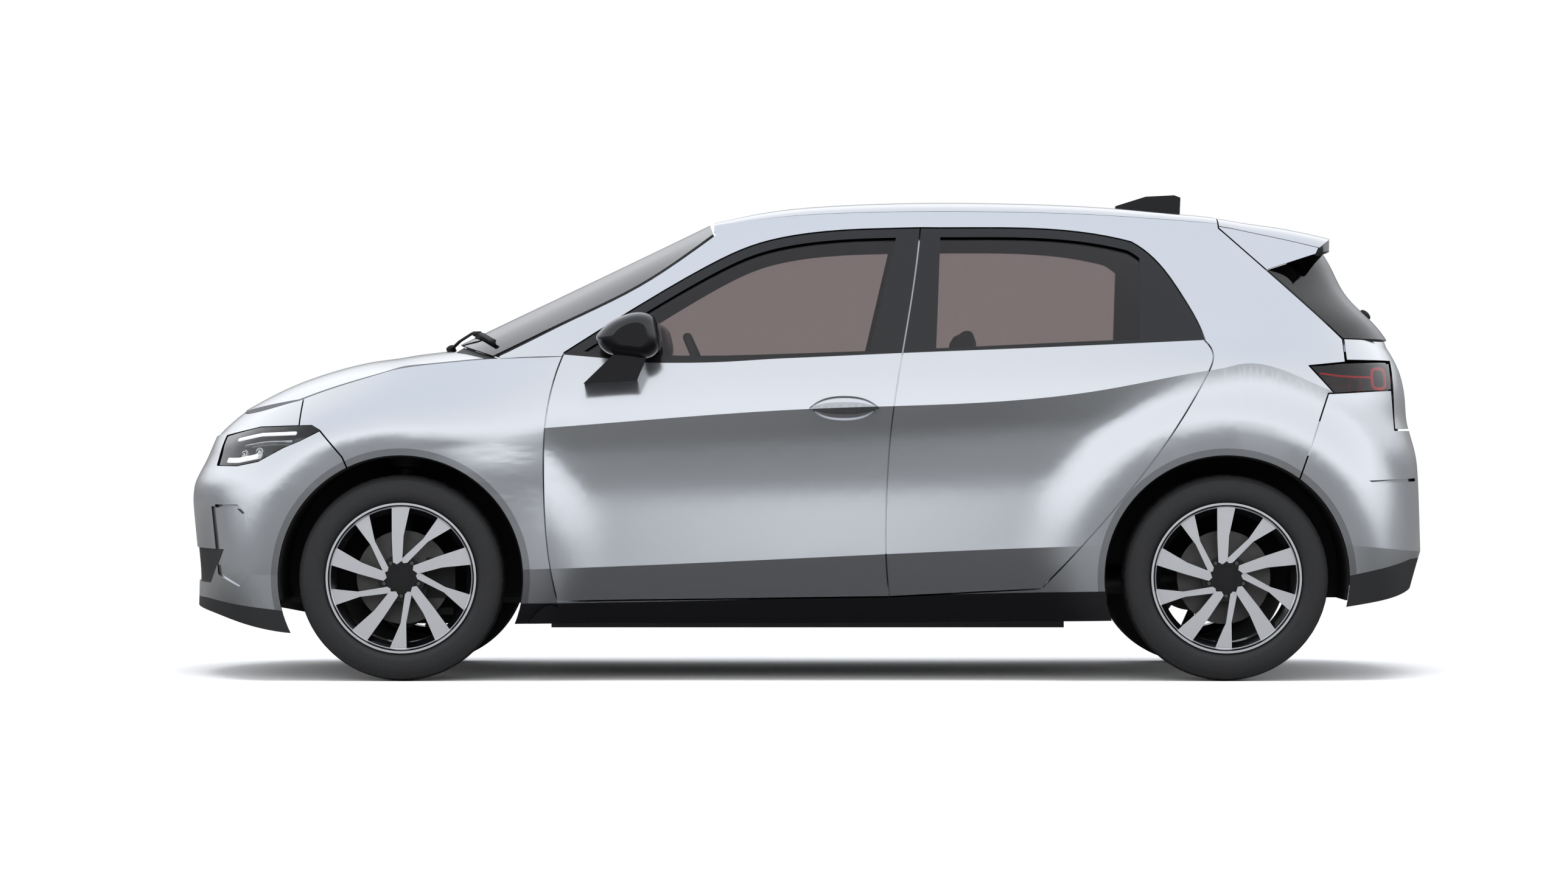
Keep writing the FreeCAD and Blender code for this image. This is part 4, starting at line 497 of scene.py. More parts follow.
def side_shape(shape, side):
    """A shape made for the left side, or its mirror image for the right."""
    verts, faces = shape
    if side == "left":
        return shape
    return [Vector((v.x, -v.y, v.z)) for v in verts], [face[::-1] for face in faces]


class Skin:
    """The surface of a CAD node, asked from outside."""

    def __init__(self, node):
        mesh = nodes[node].data
        corners = [v.co.copy() for v in mesh.vertices]
        self.tree = BVHTree.FromPolygons(corners, [p.vertices[:] for p in mesh.polygons])

    def hit(self, start, way, depth=0.0):
        """The point where a ray meets the skin, carried in by depth, with the way out."""
        way = Vector(way).normalized()
        place, normal, _, _ = self.tree.ray_cast(Vector(start), way)
        if place is None:
            return None
        if normal.dot(way) > 0:
            normal = -normal
        return place - normal * depth, normal


# Tyres with tread, inside the CAD tyre's surface.
BEAD_R = WHEEL_R * 0.711
# The sidewall as (height share, half width share), and the grooves as (middle, width) in half width shares.
SIDE_SHARES = [(0, 0.78), (0.045, 0.815), (0.09, 0.85), (0.16, 0.925), (0.25, 0.975), (0.37, 0.992),
               (0.5, 0.993), (0.64, 0.98), (0.78, 0.948), (0.86, 0.908), (0.92, 0.85), (0.95, 0.80)]
TREAD_SHARES = (0.74, 0.70, 0.60, 0.548, 0.545, 0.495, 0.492, 0.35, 0.20, 0.1975, 0.1425, 0.14, 0.05)
GROOVE_SHARES = [(0.52, 0.05), (0.17, 0.055)]
SHOULDER_SHARE, MIDDLE_SHARE = 0.56, 0.21
CROWN_SHARE, CROWN_DROP_SHARE = 0.035, 0.0008
GROOVE_DEPTH, SHOULDER_SIPE, MIDDLE_SIPE = 0.0075, 0.005, 0.0035
PITCHES, SKEW = 60, 1.2
SIDEWALL = 3


def tread_rows():
    """(height, half width share, groove, block row) across the tread."""
    rows = []
    for y in TREAD_SHARES:
        groove = any(abs(y - middle) < wide / 2 for middle, wide in GROOVE_SHARES)
        height = 1 - CROWN_SHARE * (y / TREAD_SHARES[0]) ** 2.4 - CROWN_DROP_SHARE
        row = 2 if y > SHOULDER_SHARE else 1 if y > MIDDLE_SHARE else 0
        rows.append((height, y, groove, row))
    return rows


def cut_depth(k, y, groove, row):
    """How deep the tread is cut at step k round the tyre."""
    skew = int(k + (1.5 if y > 0 else 0))
    if groove:
        return GROOVE_DEPTH
    if row == 2 and skew % 3 == 0:
        return SHOULDER_SIPE
    if row == 1 and skew % 6 == 1:
        return MIDDLE_SIPE
    return 0.0


def tyre_shape(x, y_middle):
    """A treaded tyre about the axle at x, with its middle at y_middle."""
    rise, half = WHEEL_R - BEAD_R, WHEEL_W / 2
    left = [(r, y, False, SIDEWALL) for r, y in SIDE_SHARES] + tread_rows()
    profile = left + [(r, -y, groove, row) for r, y, groove, row in left[::-1]]
    verts = []
    segments = PITCHES * 3
    for k in range(segments):
        for r, y, groove, row in profile:
            radius = BEAD_R + rise * r - cut_depth(k, y, groove, row)
            lead = SKEW * abs(y) if row < SIDEWALL else 0
            a = 2 * math.pi * (k + lead) / segments
            across = y_middle + y * half
            verts.append(Vector((x + radius * math.cos(a), across, WHEEL_R + radius * math.sin(a))))
    count = len(profile)
    faces = []
    for k in range(segments):
        n = (k + 1) % segments
        for i in range(count):
            j = (i + 1) % count
            faces.append((k * count + i, k * count + j, n * count + j, n * count + i))
    return verts, faces


# Wheel bolts: a hexagon head's (height, corner radius), the circle they stand on and how far back.
BOLT_HEAD = ((0, 0.0082), (0.007, 0.0082), (0.0085, 0.0068))
BOLT_CIRCLE_R, BOLT_SET_BACK, BOLTS = 0.057, 0.0275, 5
# The valve's (radius, y) points, its angle and its thickness.
VALVE_LINE, VALVE_ANGLE, VALVE_THICK = ((0.212, 0.822), (0.205, 0.832), (0.198, 0.846)), 52, 0.007


def hex_bolt(centre, out):
    """A hexagon head with a chamfer, standing out along y."""
    x, y, z = centre
    verts = []
    for along, radius in BOLT_HEAD:
        for k in range(6):
            a = math.pi * k / 3
            verts.append(Vector((x + radius * math.cos(a), y + out * along, z + radius * math.sin(a))))
    return verts, lattice(len(BOLT_HEAD), 6) + [tuple(range(6)), tuple(range(12, 18))]


def on_wheel(axle, radius, angle, y):
    """The point at a radius and an angle in degrees about an axle."""
    a = math.radians(angle)
    return Vector((axle + radius * math.cos(a), y, WHEEL_R + radius * math.sin(a)))


for wheel in WHEELS:
    axle = AXLE_FRONT if wheel.startswith("front") else AXLE_REAR
    out = -1 if wheel.endswith("left") else 1
    body = "wheel_" + wheel
    tread = piece("tread_" + wheel, *tyre_shape(axle, out * WHEEL_Y), tyre_rubber, body, "tyre")
    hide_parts("tyre_" + wheel)
    heads = [on_wheel(axle, BOLT_CIRCLE_R, 360 / BOLTS * k - 90, out * (RIM_FACE_Y - BOLT_SET_BACK))
             for k in range(BOLTS)]
    bolts = together(*(hex_bolt(head, out) for head in heads))
    piece("bolts_" + wheel, *bolts, disc_iron, body, "steel", smooth=False)
    stem = [(on_wheel(axle, r, VALVE_ANGLE, out * y), Vector((0, out, 0))) for r, y in VALVE_LINE]
    piece("valve_" + wheel, *swept(stem, oval(VALVE_THICK, VALVE_THICK, 8)), rubber_black, body, "black_trim")


# Lamps: a clear outer face over dark housing, with light guides inside.
LENS_FACING = 0.45


def lens_faces(node, front, lens):
    """Gives the outward faces of a lamp the lens material."""
    mesh = nodes[node].data
    mesh.materials.append(lens)
    for face in mesh.polygons:
        side = -1 if face.center.y < 0 else 1
        if face.normal.dot(Vector((front, 0.8 * side, 0.0))) > LENS_FACING:
            face.material_index = 1


lens_faces("headlamps", -0.9, lens_clear)
lens_faces("tail_lamps", 0.9, lens_smoked)


def height_on(line, x):
    """Straight interpolation along a line of (x, z)."""
    for (x0, z0), (x1, z1) in zip(line, line[1:]):
        if x <= x1:
            break
    return z0 + (z1 - z0) * (x - x0) / (x1 - x0)


LAMP_TOP = [(-1.96, 0.752), (-1.869, 0.773), (-1.738, 0.799), (-1.564, 0.804), (-1.50, 0.804)]
LAMP_FOOT = [(-1.96, 0.682), (-1.81, 0.680), (-1.738, 0.694), (-1.651, 0.739), (-1.537, 0.790)]
LAMP_CENTRE, LAMP_Z, FAR = (-1.45, -0.45), 0.745, 2.0
# Light guides as (line, angles, drop below the line, depth under the skin, width and height).
DAY_LIGHT = (LAMP_TOP, range(258, 196, -3), 0.014, 0.012, (0.011, 0.007))
LOW_LIGHT = (LAMP_FOOT, range(226, 198, -3), -0.020, 0.014, (0.016, 0.007))
BROW = (LAMP_TOP, range(252, 200, -4), 0.034, 0.026, (0.010, 0.006))
# Beam units as (angle, height), their turned form and their depth under the skin.
BEAM_PLACES, BEAM_DEPTH = ((212, 0.722), (224, 0.730)), 0.034
BEAM_FORM = [(0, 0.019), (0.012, 0.019), (0.014, 0.016), (0.012, 0.015), (0.017, 0.010), (0.019, 0.004)]
head_skin = Skin("headlamps")
tail_skin = Skin("tail_lamps")


def lamp_hit(angle, z, depth):
    """A headlamp's skin seen from its centre at an angle in degrees, with the way there."""
    way = Vector((math.cos(math.radians(angle)), math.sin(math.radians(angle)), 0))
    return head_skin.hit(Vector((*LAMP_CENTRE, z)) + way * FAR, -way, depth), way


def guide(line, angles, drop, depth, section):
    """A bar just under the lamp's skin, on a line of the side view carried round the corner."""
    path = []
    for angle in angles:
        z = LAMP_Z
        for _ in range(3):
            got, _ = lamp_hit(angle, z, depth)
            if got is None:
                break
            z = height_on(line, got[0].x) - drop
        if got:
            path.append(got)
    return swept(path, strip(*section))


beams = [lamp_hit(angle, z, BEAM_DEPTH) for angle, z in BEAM_PLACES]
beam_units = together(*(turned(BEAM_FORM, got[0], way, 24) for got, way in beams if got))
for side in SIDES:
    piece("day_light_" + side, *side_shape(guide(*DAY_LIGHT), side), lamp_white, "body", "lamp")
    piece("low_light_" + side, *side_shape(guide(*LOW_LIGHT), side), lamp_white, "body", "lamp")
    piece("lamp_brow_" + side, *side_shape(guide(*BROW), side), bright_trim, "body", "lamp")
    piece("beam_units_" + side, *side_shape(beam_units, side), mirror_silver, "body", "lamp")

# The tail lamp's red ring and line.
RING_MIDDLE, RING_HALF, RING_DEPTH = (1.826, 0.9575), (0.026, 0.033), 0.009
RED_LINE, RED_LINE_DEPTH = ((1.795, 0.962), (1.74, 0.963), (1.68, 0.966), (1.62, 0.974)), 0.010
RING_SECTION, LINE_SECTION = (0.009, 0.007), (0.005, 0.005)


def soft_corner(value, power):
    """A sine or cosine pushed out, so that a circle of them gets flatter sides."""
    return math.copysign(abs(value) ** power, value)


def ring_points(skin, middle, half, depth, count=30):
    """A rounded ring of the side view laid just under the left skin."""
    path = []
    for k in range(count):
        a = 2 * math.pi * k / count
        x = middle[0] + half[0] * soft_corner(math.cos(a), 0.55)
        z = middle[1] + half[1] * soft_corner(math.sin(a), 0.55)
        path.append(skin.hit((x, -FAR, z), (0, 1, 0), depth))
    return [got for got in path if got]


red_ring = swept(ring_points(tail_skin, RING_MIDDLE, RING_HALF, RING_DEPTH), strip(*RING_SECTION), True)
line_hits = [tail_skin.hit((x, -FAR, z), (0, 1, 0), RED_LINE_DEPTH) for x, z in RED_LINE]
red_line = swept([got for got in line_hits if got], strip(*LINE_SECTION))
for side in SIDES:
    piece("tail_ring_" + side, *side_shape(red_ring, side), lamp_red, "body", "tail_lamp")
    piece("tail_line_" + side, *side_shape(red_line, side), lamp_red, "body", "tail_lamp")

# Wipers: each has a rubber under a spine, an arm and a turned cap over its pivot.
ARM_WAY = Vector((-0.4, 0, 0.9))
RUBBER_DROP, SPINE_LIFT, JOINT_LIFT = 0.0045, 0.003, 0.006
RUBBER_SECTION, SPINE_SECTION = (0.005, 0.007), (0.014, 0.007, 0.6)
# Front wipers as (name, first and last y of the blade, y of the pivot).
FRONT_WIPERS = (("driver", -0.66, -0.06, -0.12), ("passenger", -0.02, 0.52, 0.44))
BLADE_BACK, BLADE_BOW, BLADE_GAP, BLADE_STEPS = 0.045, 0.012, 0.009, 14
FOOT_AHEAD, FOOT_DROP, ARM_LIFT = 0.035, 0.045, 0.018
FRONT_ARM, FRONT_CAP = (0.013, 0.008, 0.5), [(-0.012, 0.015), (0.008, 0.015), (0.012, 0.011), (0.014, 0.005)]
REAR_ARM, REAR_CAP = (0.016, 0.009, 0.5), [(-0.012, 0.021), (0.006, 0.021), (0.012, 0.016), (0.015, 0.006)]
REAR_BLADE_Z, REAR_BLADE_FIRST, REAR_BLADE_STEP = 1.128, 0.02, 0.024
REAR_HUB_Z, REAR_HUB_GAP, REAR_ARM_LIFT = 1.160, 0.012, 0.008
# Rays for the wipers start this far out.
BEYOND = 3.0
SCREEN_FOOT_X, SCREEN_FOOT_BOW, SCREEN_FOOT_HALF = -1.132, 0.138, 0.775
screen_skin = Skin("windscreen")
hatch_skin = Skin("tailgate_glass")


def screen_foot(y):
    """The x of the windscreen's foot, which bows back towards the sides."""
    return SCREEN_FOOT_X + SCREEN_FOOT_BOW * (abs(y) / SCREEN_FOOT_HALF) ** 2.4


def blade(path):
    """A wiper's rubber and spine along points of the glass."""
    rubber_path = [(p - n * RUBBER_DROP, n) for p, n in path]
    spine_path = [(p + n * SPINE_LIFT, n) for p, n in path]
    return together(swept(rubber_path, strip(*RUBBER_SECTION)), swept(spine_path, strip(*SPINE_SECTION)))


for name, first, last, pivot in FRONT_WIPERS:
    path = []
    for k in range(BLADE_STEPS + 1):
        y = first + (last - first) * k / BLADE_STEPS
        back = BLADE_BACK + BLADE_BOW * math.sin(math.pi * k / BLADE_STEPS)
        path.append(screen_skin.hit((screen_foot(y) + back, y, BEYOND), (0, 0, -1), -BLADE_GAP))
    middle, out = path[BLADE_STEPS // 2]
    foot = Vector((screen_foot(pivot) - FOOT_AHEAD, pivot, middle.z - FOOT_DROP))
    lift = Vector((0, 0, ARM_LIFT))
    arm = [(foot, ARM_WAY), (foot.lerp(middle, 0.3) + lift * 0.7, ARM_WAY),
           (foot.lerp(middle, 0.75) + lift, ARM_WAY), (middle + out * JOINT_LIFT, out)]
    wiper = together(blade(path), swept(arm, strip(*FRONT_ARM)), turned(FRONT_CAP, foot, ARM_WAY, 20))
    piece("wiper_" + name, *wiper, rubber_black, "body", "black_trim")

rear_y = [REAR_BLADE_FIRST + REAR_BLADE_STEP * k for k in range(BLADE_STEPS)]
rear_path = [hatch_skin.hit((BEYOND, y, REAR_BLADE_Z), (-1, 0, 0), -BLADE_GAP) for y in rear_y]
hub, hub_way = hatch_skin.hit((BEYOND, 0.0, REAR_HUB_Z), (-1, 0, 0), -REAR_HUB_GAP)
arm_end, end_way = rear_path[6]
arm = [(hub, hub_way), (hub.lerp(arm_end, 0.6) + hub_way * REAR_ARM_LIFT, hub_way),
       (arm_end + end_way * JOINT_LIFT, end_way)]
rear_wiper = together(blade(rear_path), swept(arm, strip(*REAR_ARM)), turned(REAR_CAP, hub, hub_way, 24))
piece("wiper_rear", *rear_wiper, rubber_black, "tailgate_lid", "black_trim")

# Mirror glasses, facing back.
GLASS_HALF_Y, GLASS_HALF_Z, GLASS_GAP = 0.070, 0.046, 0.0015
GLASS_DROP, GLASS_OUT, GLASS_RINGS, GLASS_POINTS = 0.075, 0.004, 5, 28
for side in SIDES:
    sign = -1 if side == "left" else 1
    low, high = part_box("mirror_" + side)
    skin = Skin("mirror_" + side)
    middle_y, middle_z = (low.y + high.y) / 2 + sign * GLASS_OUT, high.z - GLASS_DROP
    verts = []
    for ring in range(GLASS_RINGS):
        for k in range(GLASS_POINTS):
            a, share = 2 * math.pi * k / GLASS_POINTS, ring / (GLASS_RINGS - 1)
            y = middle_y + GLASS_HALF_Y * share * soft_corner(math.cos(a), 0.7)
            z = middle_z + GLASS_HALF_Z * share * soft_corner(math.sin(a), 0.7)
            got = skin.hit((0.0, y, z), (-1, 0, 0), -GLASS_GAP)
            verts.append(got[0] if got else Vector((high.x, y, z)))
    glass = (verts, lattice(GLASS_RINGS, GLASS_POINTS))
    piece("mirror_glass_" + side, *glass, mirror_silver, "front_door_" + side, "bright_trim")


# Seats: stuffed pads over a shell, two in front and a bench.
SEAM_WIDE, CROSS_SEAM_DEPTH, EDGE_SEAM_DEPTH = 0.007, 0.010, 0.012
BLOCK_ROUND, BLOCK_OVERLAP = 0.016, 0.01
PRESSURE, SWELL_FRAMES = 4.0, 20
UP, ACROSS, BACKWARD = Vector((0, 0, 1)), Vector((0, 1, 0)), Vector((1, 0, 0))
FORWARD = Vector((-1, 0, 0.33)).normalized()


def soft_block(name, parts):
    """One object of several rounded blocks, each a profile in x, z carried between two y."""
    verts, faces = [], []
    for profile, (y_low, y_high) in parts:
        base = len(verts)
        count = len(profile)
        near = [base + k for k in range(count)]
        far = [base + count + k for k in range(count)]
        verts += [Vector((x, y, z)) for y in (y_low, y_high) for x, z in profile]
        faces += [tuple(near), tuple(far[::-1])]
        faces += [(near[k], near[(k + 1) % count], far[(k + 1) % count], far[k]) for k in range(count)]
    mesh = bpy.data.meshes.new(name)
    mesh.from_pydata([tuple(v) for v in verts], [], faces)
    shaper = bmesh.new()
    shaper.from_mesh(mesh)
    bmesh.ops.recalc_face_normals(shaper, faces=shaper.faces)
    bmesh.ops.bevel(shaper, geom=shaper.edges[:], offset=BLOCK_ROUND, segments=3, affect="EDGES", profile=0.6)
    shaper.to_mesh(mesh)
    shaper.free()
    return placed(name, mesh)


def settled(obj):
    """The object's mesh with its modifiers carried out."""
    graph = bpy.context.evaluated_depsgraph_get()
    return bpy.data.meshes.new_from_object(obj.evaluated_get(graph), depsgraph=graph)


def swell(obj, cap):
    """Blows the object up like a filled cushion, moving no point further than cap."""
    mesh = obj.data
    start = [v.co.copy() for v in mesh.vertices]
    cloth_filling = obj.modifiers.new("cloth", "CLOTH")
    cloth_filling.settings.use_pressure = True
    cloth_filling.settings.uniform_pressure_force = PRESSURE
    cloth_filling.settings.effector_weights.gravity = 0.0
    for step in range(1, SWELL_FRAMES + 1):
        bpy.context.scene.frame_set(step)
    swollen = settled(obj)
    for vert, rest, moved in zip(mesh.vertices, start, swollen.vertices):
        shift = moved.co - rest
        if shift.length > cap:
            shift.length = cap
        vert.co = rest + shift
    obj.modifiers.clear()
    bpy.context.scene.frame_set(1)


def press_seams(mesh, seams, middle):
    """Presses seams in: each (way, place, depth, facing, reach from the pad's middle)."""
    for vert in mesh.vertices:
        from_middle = abs(vert.co.y - middle)
        pulls = [0.0]
        for way, place, depth, facing, reach in seams:
            if 0.0 < from_middle < reach:
                off = (vert.co.dot(way) - place) / SEAM_WIDE
                pulls.append(depth * math.exp(-off ** 2) * max(vert.normal.dot(facing), 0.0))
        vert.co -= vert.normal * max(pulls)


def stuffed(obj, middle, voxel, cap, seams):
    """Makes a filled, sewn and smooth pad of a block."""
    remesh = obj.modifiers.new("remesh", "REMESH")
    remesh.mode = "VOXEL"
    remesh.voxel_size = voxel
    fine = settled(obj)
    obj.modifiers.clear()
    obj.data = fine
    swell(obj, cap)
    fine.update()
    press_seams(fine, seams, middle)
    smooth = obj.modifiers.new("smooth", "SUBSURF")
    smooth.levels = smooth.render_levels = 1
    obj.data = settled(obj)
    obj.modifiers.clear()
    obj.data.materials.clear()
    obj.data.materials.append(seat_cloth)
    obj.data.shade_smooth()


def cross_seams(way, places, facing, reach):
    """Seams across a pad's middle part."""
    return [(way, place, CROSS_SEAM_DEPTH, facing, reach) for place in places]


def edge_seams(middle, off, facing):
    """The two long seams where a pad's middle part meets its sides."""
    return [(ACROSS, middle + side * off, EDGE_SEAM_DEPTH, facing, 1.0) for side in (-1, 1)]


def twin(obj, name):
    """The same piece on the car's other side."""
    mesh = obj.data.copy()
    for vert in mesh.vertices:
        vert.co.y = -vert.co.y
    mesh.flip_normals()
    return placed(name, mesh)


def pad_pair(name, blocks, middle, voxel, cap, seams, replaced):
    """A pad and its mirror image, both riding on the body as stuffed cloth."""
    pad = soft_block(name + "_left", blocks)
    stuffed(pad, middle, voxel, cap, seams)
    other = twin(pad, name + "_right")
    for obj in (pad, other):
        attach(obj, "body")
    if replaced:
        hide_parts(replaced)


def from_front(points, front):
    """A profile whose x counts from a seat's front end."""
    return [(front + x, z) for x, z in points]


SEAT_X, SEAT_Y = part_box("front_seats")[0].x, -SEAT_MIDDLE
SEAT_HALF, HEAD_HALF = 0.240, 0.118
# Side profiles as (x from the seat's front, z).
CUSHION = [(0.016, 0.336), (0.016, 0.440), (0.10, 0.452), (0.42, 0.438), (0.42, 0.336)]
CUSHION_SIDE = [(0.018, 0.336), (0.018, 0.430), (0.12, 0.456), (0.40, 0.452), (0.42, 0.336)]
BACK = [(0.472, 0.405), (0.540, 0.405), (0.706, 0.940), (0.658, 0.940), (0.600, 0.78), (0.520, 0.55)]
BACK_SIDE = [(0.458, 0.41), (0.540, 0.405), (0.702, 0.92), (0.650, 0.915), (0.575, 0.78), (0.488, 0.55)]
HEAD = [(0.652, 0.990), (0.646, 1.060), (0.660, 1.112), (0.698, 1.112), (0.700, 0.990)]
CUSHION_SEAMS, BACK_SEAMS = (0.12, 0.21, 0.30), (0.56, 0.66, 0.76, 0.86)


def seat_blocks(middle_profile, side_profile, inner):
    """A front seat's middle part and its two bolsters."""
    sides = from_front(side_profile, SEAT_X)
    reach = inner + BLOCK_OVERLAP
    return [(from_front(middle_profile, SEAT_X), (SEAT_Y - reach, SEAT_Y + reach)),
            (sides, (SEAT_Y - SEAT_HALF, SEAT_Y - inner)), (sides, (SEAT_Y + inner, SEAT_Y + SEAT_HALF))]


cushion_seams = cross_seams(BACKWARD, [SEAT_X + x for x in CUSHION_SEAMS], UP, 0.145)
back_seams = cross_seams(UP, BACK_SEAMS, FORWARD, 0.14)
head_blocks = [(from_front(HEAD, SEAT_X), (SEAT_Y - HEAD_HALF, SEAT_Y + HEAD_HALF))]
pad_pair("seat_cushion", seat_blocks(CUSHION, CUSHION_SIDE, 0.155), SEAT_Y, 0.0085, 0.020,
         cushion_seams + edge_seams(SEAT_Y, 0.158, UP), "front_seats")
pad_pair("seat_back", seat_blocks(BACK, BACK_SIDE, 0.150), SEAT_Y, 0.0085, 0.016,
         back_seams + edge_seams(SEAT_Y, 0.153, FORWARD), None)
pad_pair("head_rest", head_blocks, SEAT_Y, 0.007, 0.012, [], None)

# The front seats' frames: rails, risers, head-rest posts and the side valance.
RAIL = (((0.03, 0.272), (0.20, 0.270), (0.40, 0.272), (0.50, 0.276)), UP, strip(0.045, 0.018, 0.5))
RISER = (((0.20, 0.27), (0.22, 0.30), (0.21, 0.335)), BACKWARD, strip(0.03, 0.16, 0.4))
POST = (((0.655, 0.90), (0.672, 0.96), (0.678, 1.01)), Vector((-1, 0, 0.3)), oval(0.012, 0.012, 12))
VALANCE = (((0.05, 0.325), (0.20, 0.318), (0.36, 0.322), (0.46, 0.350), (0.50, 0.400)),
           Vector((0, -1, 0)), strip(0.055, 0.022, 0.6))


def seat_bar(form, y):
    """A bar of the seat's frame at y, from (side points, outward way, section)."""
    points, outward, section = form
    return swept([(Vector((SEAT_X + x, y, z)), outward) for x, z in points], section)


shell = []
for y in (SEAT_Y - 0.12, SEAT_Y + 0.12):
    shell += [seat_bar(RAIL, y), seat_bar(RISER, y)]
for y in (SEAT_Y - 0.06, SEAT_Y + 0.06):
    shell.append(seat_bar(POST, y))
shell.append(seat_bar(VALANCE, SEAT_Y - 0.232))
for side in SIDES:
    piece("seat_frame_" + side, *side_shape(together(*shell), side), grained_black, "body", "soft_black")

bench_low, bench_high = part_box("rear_seat")
BENCH_X, BENCH_HALF, BENCH_VOXEL = bench_low.x, bench_high.y, 0.0095
BENCH_MIDDLE, BENCH_SPAN = -BENCH_HALF / 2, (-BENCH_HALF + 0.014, -0.008)
BENCH_CUSHION = [(0.014, 0.336), (0.014, 0.440), (0.09, 0.455), (0.42, 0.458), (0.42, 0.449), (0.19, 0.449),
                 (0.168, 0.336)]
BENCH_BACK = [(0.385, 0.452), (0.478, 0.452), (0.612, 0.974), (0.552, 0.974)]
BENCH_SEAMS, SEAM_REACH, BENCH_EDGE = (0.12, 0.22, 0.32), 0.16, 0.17
bench_seams = cross_seams(BACKWARD, [BENCH_X + x for x in BENCH_SEAMS], UP, SEAM_REACH)
bench_back_seams = cross_seams(UP, BACK_SEAMS, FORWARD, SEAM_REACH)
bench_block = [(from_front(BENCH_CUSHION, BENCH_X), BENCH_SPAN)]
bench_back_block = [(from_front(BENCH_BACK, BENCH_X), BENCH_SPAN)]
pad_pair("bench_cushion", bench_block, BENCH_MIDDLE, BENCH_VOXEL, 0.010,
         bench_seams + edge_seams(BENCH_MIDDLE, BENCH_EDGE, UP), "rear_seat")
pad_pair("bench_back", bench_back_block, BENCH_MIDDLE, BENCH_VOXEL, 0.014,
         bench_back_seams + edge_seams(BENCH_MIDDLE, BENCH_EDGE, FORWARD), None)

# Cabin fittings seen through the glass. The displays' places count from the dashboard's rear top edge.
dash_x, dash_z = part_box("dashboard")[1].x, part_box("dashboard")[1].z
wheel_low, wheel_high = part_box("steering_wheel")
SCREEN_LOW, SCREEN_HIGH = (dash_x - 0.12, -0.155, dash_z - 0.055), (dash_x - 0.104, 0.155, dash_z + 0.075)
GAUGE_LOW, GAUGE_HIGH = (dash_x - 0.135, -0.47, dash_z - 0.045), (dash_x - 0.121, -0.23, dash_z + 0.050)
CONSOLE_LOW, CONSOLE_HIGH = (dash_x - 0.10, -0.105, 0.262), (0.21, 0.105, 0.470)
REST_LOW, REST_HIGH = (0.0, -0.088, 0.452), (0.215, 0.088, 0.512)
BOSS_FORM = [(-0.020, 0.055), (0.004, 0.066), (0.016, 0.058), (0.022, 0.036), (0.024, 0.010)]
COLUMN_WAY, BOSS_OFF = (0.9135, 0, 0.4067), Vector((0.075, 0, 0.03))


def rounded(name, low, high, look, bevel, lean=0.0):
    """A moulded block with rounded edges, leaning back about its middle."""
    middle = (Vector(low) + Vector(high)) / 2
    half = (Vector(high) - Vector(low)) / 2
    turn = Matrix.Rotation(math.radians(lean), 4, "Y")
    bevel = min(bevel, min(half) * 0.9)
    shaper = bmesh.new()
    bmesh.ops.create_cube(shaper, size=2.0)
    bmesh.ops.scale(shaper, vec=half, verts=shaper.verts)
    bmesh.ops.bevel(shaper, geom=shaper.edges[:], offset=bevel, segments=4, affect="EDGES", profile=0.5)
    bmesh.ops.transform(shaper, matrix=Matrix.Translation(middle) @ turn, verts=shaper.verts)
    verts = [v.co.copy() for v in shaper.verts]
    shaper.verts.index_update()
    faces = [tuple(v.index for v in face.verts) for face in shaper.faces]
    shaper.free()
    return piece(name, verts, faces, look, "body", "soft_black")


rounded("centre_display", SCREEN_LOW, SCREEN_HIGH, gloss_black, 0.007, lean=-12)
rounded("gauge_display", GAUGE_LOW, GAUGE_HIGH, gloss_black, 0.006, lean=-14)
rounded("console", CONSOLE_LOW, CONSOLE_HIGH, dash_soft, 0.03)
rounded("arm_rest", REST_LOW, REST_HIGH, grip_leather, 0.022)
wheel_middle = (wheel_low + wheel_high) / 2
boss = Vector((wheel_middle.x, SEAT_Y, wheel_middle.z)) + BOSS_OFF
piece("wheel_boss", *turned(BOSS_FORM, boss, COLUMN_WAY, 32), grip_leather, "steering", "soft_black")

# Camera: level, on the car's left, at the photo's distance.
scene = bpy.context.scene
scene.view_settings.view_transform = "Standard"
camera_data = bpy.data.cameras.new("camera")
camera_data.sensor_width = 36.0
camera_data.lens = 135.5
camera_data.clip_end = 200.0
camera = placed("camera", camera_data)
camera.location = (-0.0756, -19.45, 0.774)
camera.rotation_euler = (math.radians(90), 0, 0)
scene.camera = camera

# Soft lights as (name, place, aim, width, height, power).
LIGHTS = (("top", (0, -1.0, 5.5), (0, 0, 0.6), 7.0, 4.5, 420.0),
          ("front_fill", (-1.0, -9.0, 3.2), (0, 0, 0.7), 8.0, 3.0, 300.0),
          ("nose_fill", (-8.0, -4.0, 2.6), (-1, 0, 0.7), 4.0, 3.0, 160.0),
          ("tail_fill", (8.0, -3.0, 2.6), (1, 0, 0.7), 4.0, 3.0, 130.0))
for name, place, aim, wide, high, power in LIGHTS:
    data = bpy.data.lights.new(name, "AREA")
    data.shape = "RECTANGLE"
    data.size = wide
    data.size_y = high
    data.energy = power
    lamp = placed(name, data)
    lamp.location = place
    lamp.rotation_euler = (Vector(aim) - Vector(place)).to_track_quat("-Z", "Y").to_euler()
    lamp.visible_camera = False
    lamp.visible_glossy = False
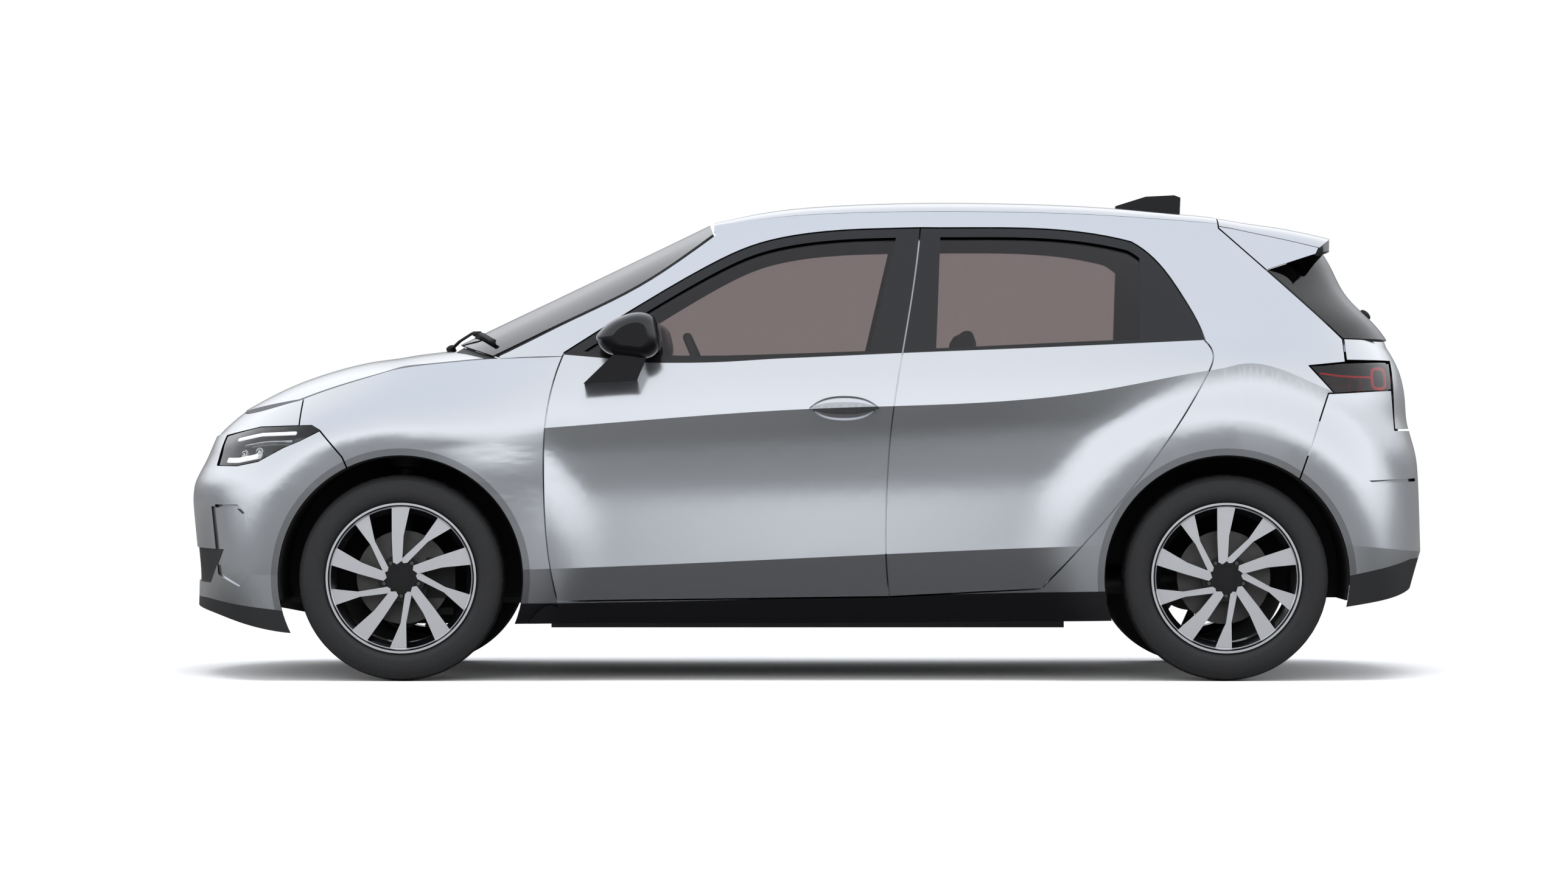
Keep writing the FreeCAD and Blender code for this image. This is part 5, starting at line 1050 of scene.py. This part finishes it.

# What mirrors the studio sees: the sky by height, 0.5 being level, and the floor by distance from the car, as
# a painted shadow that is dark near the car.
GROUND_TONE, ZENITH_TONE, SKY_POWER = (0.49, (0.20, 0.20, 0.21, 1)), (1.0, (0.66, 0.70, 0.77, 1)), 1.22
SKY_TONES = ((0.505, 0.20), (0.535, 0.30), (0.575, 0.68), (0.63, 0.92), (0.80, 0.80))
FLOOR_SHADOW_TONES = [(0.0, 0.015), (0.6, 0.02), (1.2, 0.045), (2.0, 0.09), (3.2, 0.13), (5.0, 0.17), (9.0, 0.22),
               (16.0, 0.26)]
# The paper stays visible in an oval under the car and fades to white beyond it.
PAPER_X, PAPER_Y, PAPER_SHARE, FADE_RATE, FLOOR_REACH = 3.4, 2.4, 0.75, 2.2, 40


def world_studio():
    """White to the camera; a pale sky over a grey horizon to what mirrors it."""
    world = bpy.data.worlds.new("studio")
    scene.world = world
    world.use_nodes = True
    tree = world.node_tree
    tree.nodes.clear()

    def node(kind, **props):
        made = tree.nodes.new("ShaderNode" + kind)
        for key, value in props.items():
            setattr(made, key, value)
        return made

    coord, split, ramp = node("TexCoord"), node("SeparateXYZ"), node("ValToRGB")
    shift = node("Math", operation="MULTIPLY_ADD")
    shift.inputs[1].default_value = shift.inputs[2].default_value = 0.5
    stops = ramp.color_ramp.elements
    for stop, (place, colour) in zip(stops, (GROUND_TONE, ZENITH_TONE)):
        stop.position = place
        stop.color = colour
    for place, tone in SKY_TONES:
        stop = stops.new(place)
        stop.color = (tone * 0.97, tone * 0.99, tone * 1.03, 1)
    studio, white = node("Background"), node("Background")
    studio.inputs[1].default_value = SKY_POWER
    white.inputs[0].default_value = (1, 1, 1, 1)
    path, either = node("LightPath"), node("Math", operation="MAXIMUM")
    choose, out = node("MixShader"), node("OutputWorld")
    for source, socket in ((coord.outputs["Generated"], split.inputs[0]), (split.outputs[2], shift.inputs[0]),
                           (shift.outputs[0], ramp.inputs[0]), (ramp.outputs[0], studio.inputs[0]),
                           (path.outputs["Is Camera Ray"], either.inputs[0]),
                           (path.outputs["Is Transmission Ray"], either.inputs[1]),
                           (either.outputs[0], choose.inputs[0]), (studio.outputs[0], choose.inputs[1]),
                           (white.outputs[0], choose.inputs[2]), (choose.outputs[0], out.inputs[0])):
        tree.links.new(source, socket)


def paper_floor():
    """Pale paper that fades into the white round it; to glossy rays it glows with a painted shadow, dark near
    the car.
    """
    s = Shader("floor_paper")
    where, (x, y, _) = s.place()
    s.set(Base_Color=s.mix(s.noise(60.0, 3.0, where), rgb(238, 238, 238), rgb(246, 246, 246)),
          Roughness=0.9, Specular_IOR_Level=0.1)
    rays = s.node("LightPath").outputs
    reach = s.length(s.math("DIVIDE", x, PAPER_X), s.math("DIVIDE", y, PAPER_Y))
    fade = s.math("MULTIPLY", s.sub(reach, PAPER_SHARE), FADE_RATE, clamp=True)
    past_x = s.either(s.sub(s.size_of(x), CAR_HIGH.x), 0.0)
    past_y = s.either(s.sub(s.size_of(y), 0.9), 0.0)
    # Painted shadow: glossy rays see the floor glow darker the nearer it is to the car.
    tone = s.curve(s.length(past_x, past_y), FLOOR_SHADOW_TONES)
    white = s.node("Emission", Color=(1.0, 1.0, 1.0, 1.0), Strength=1.0)
    dark = s.node("Emission", Color=(0.98, 0.99, 1.0, 1.0), Strength=tone)
    to_camera, to_mirror = s.node("MixShader"), s.node("MixShader")
    for mixer, share, first, second in (
            (to_camera, s.mul(fade, rays["Is Camera Ray"]), s.bsdf, white),
            (to_mirror, rays["Is Glossy Ray"], to_camera, dark)):
        s.put(mixer.inputs[0], share)
        s.put(mixer.inputs[1], first.outputs[0])
        s.put(mixer.inputs[2], second.outputs[0])
    s.put(s.out.inputs["Surface"], to_mirror.outputs[0])
    mesh = bpy.data.meshes.new("floor")
    corners = [(x * FLOOR_REACH, y * FLOOR_REACH, 0) for x, y in ((-1, -1), (1, -1), (1, 1), (-1, 1))]
    mesh.from_pydata(corners, [], [(0, 1, 2, 3)])
    mesh.materials.append(s.mat)
    placed("floor", mesh)


world_studio()
paper_floor()
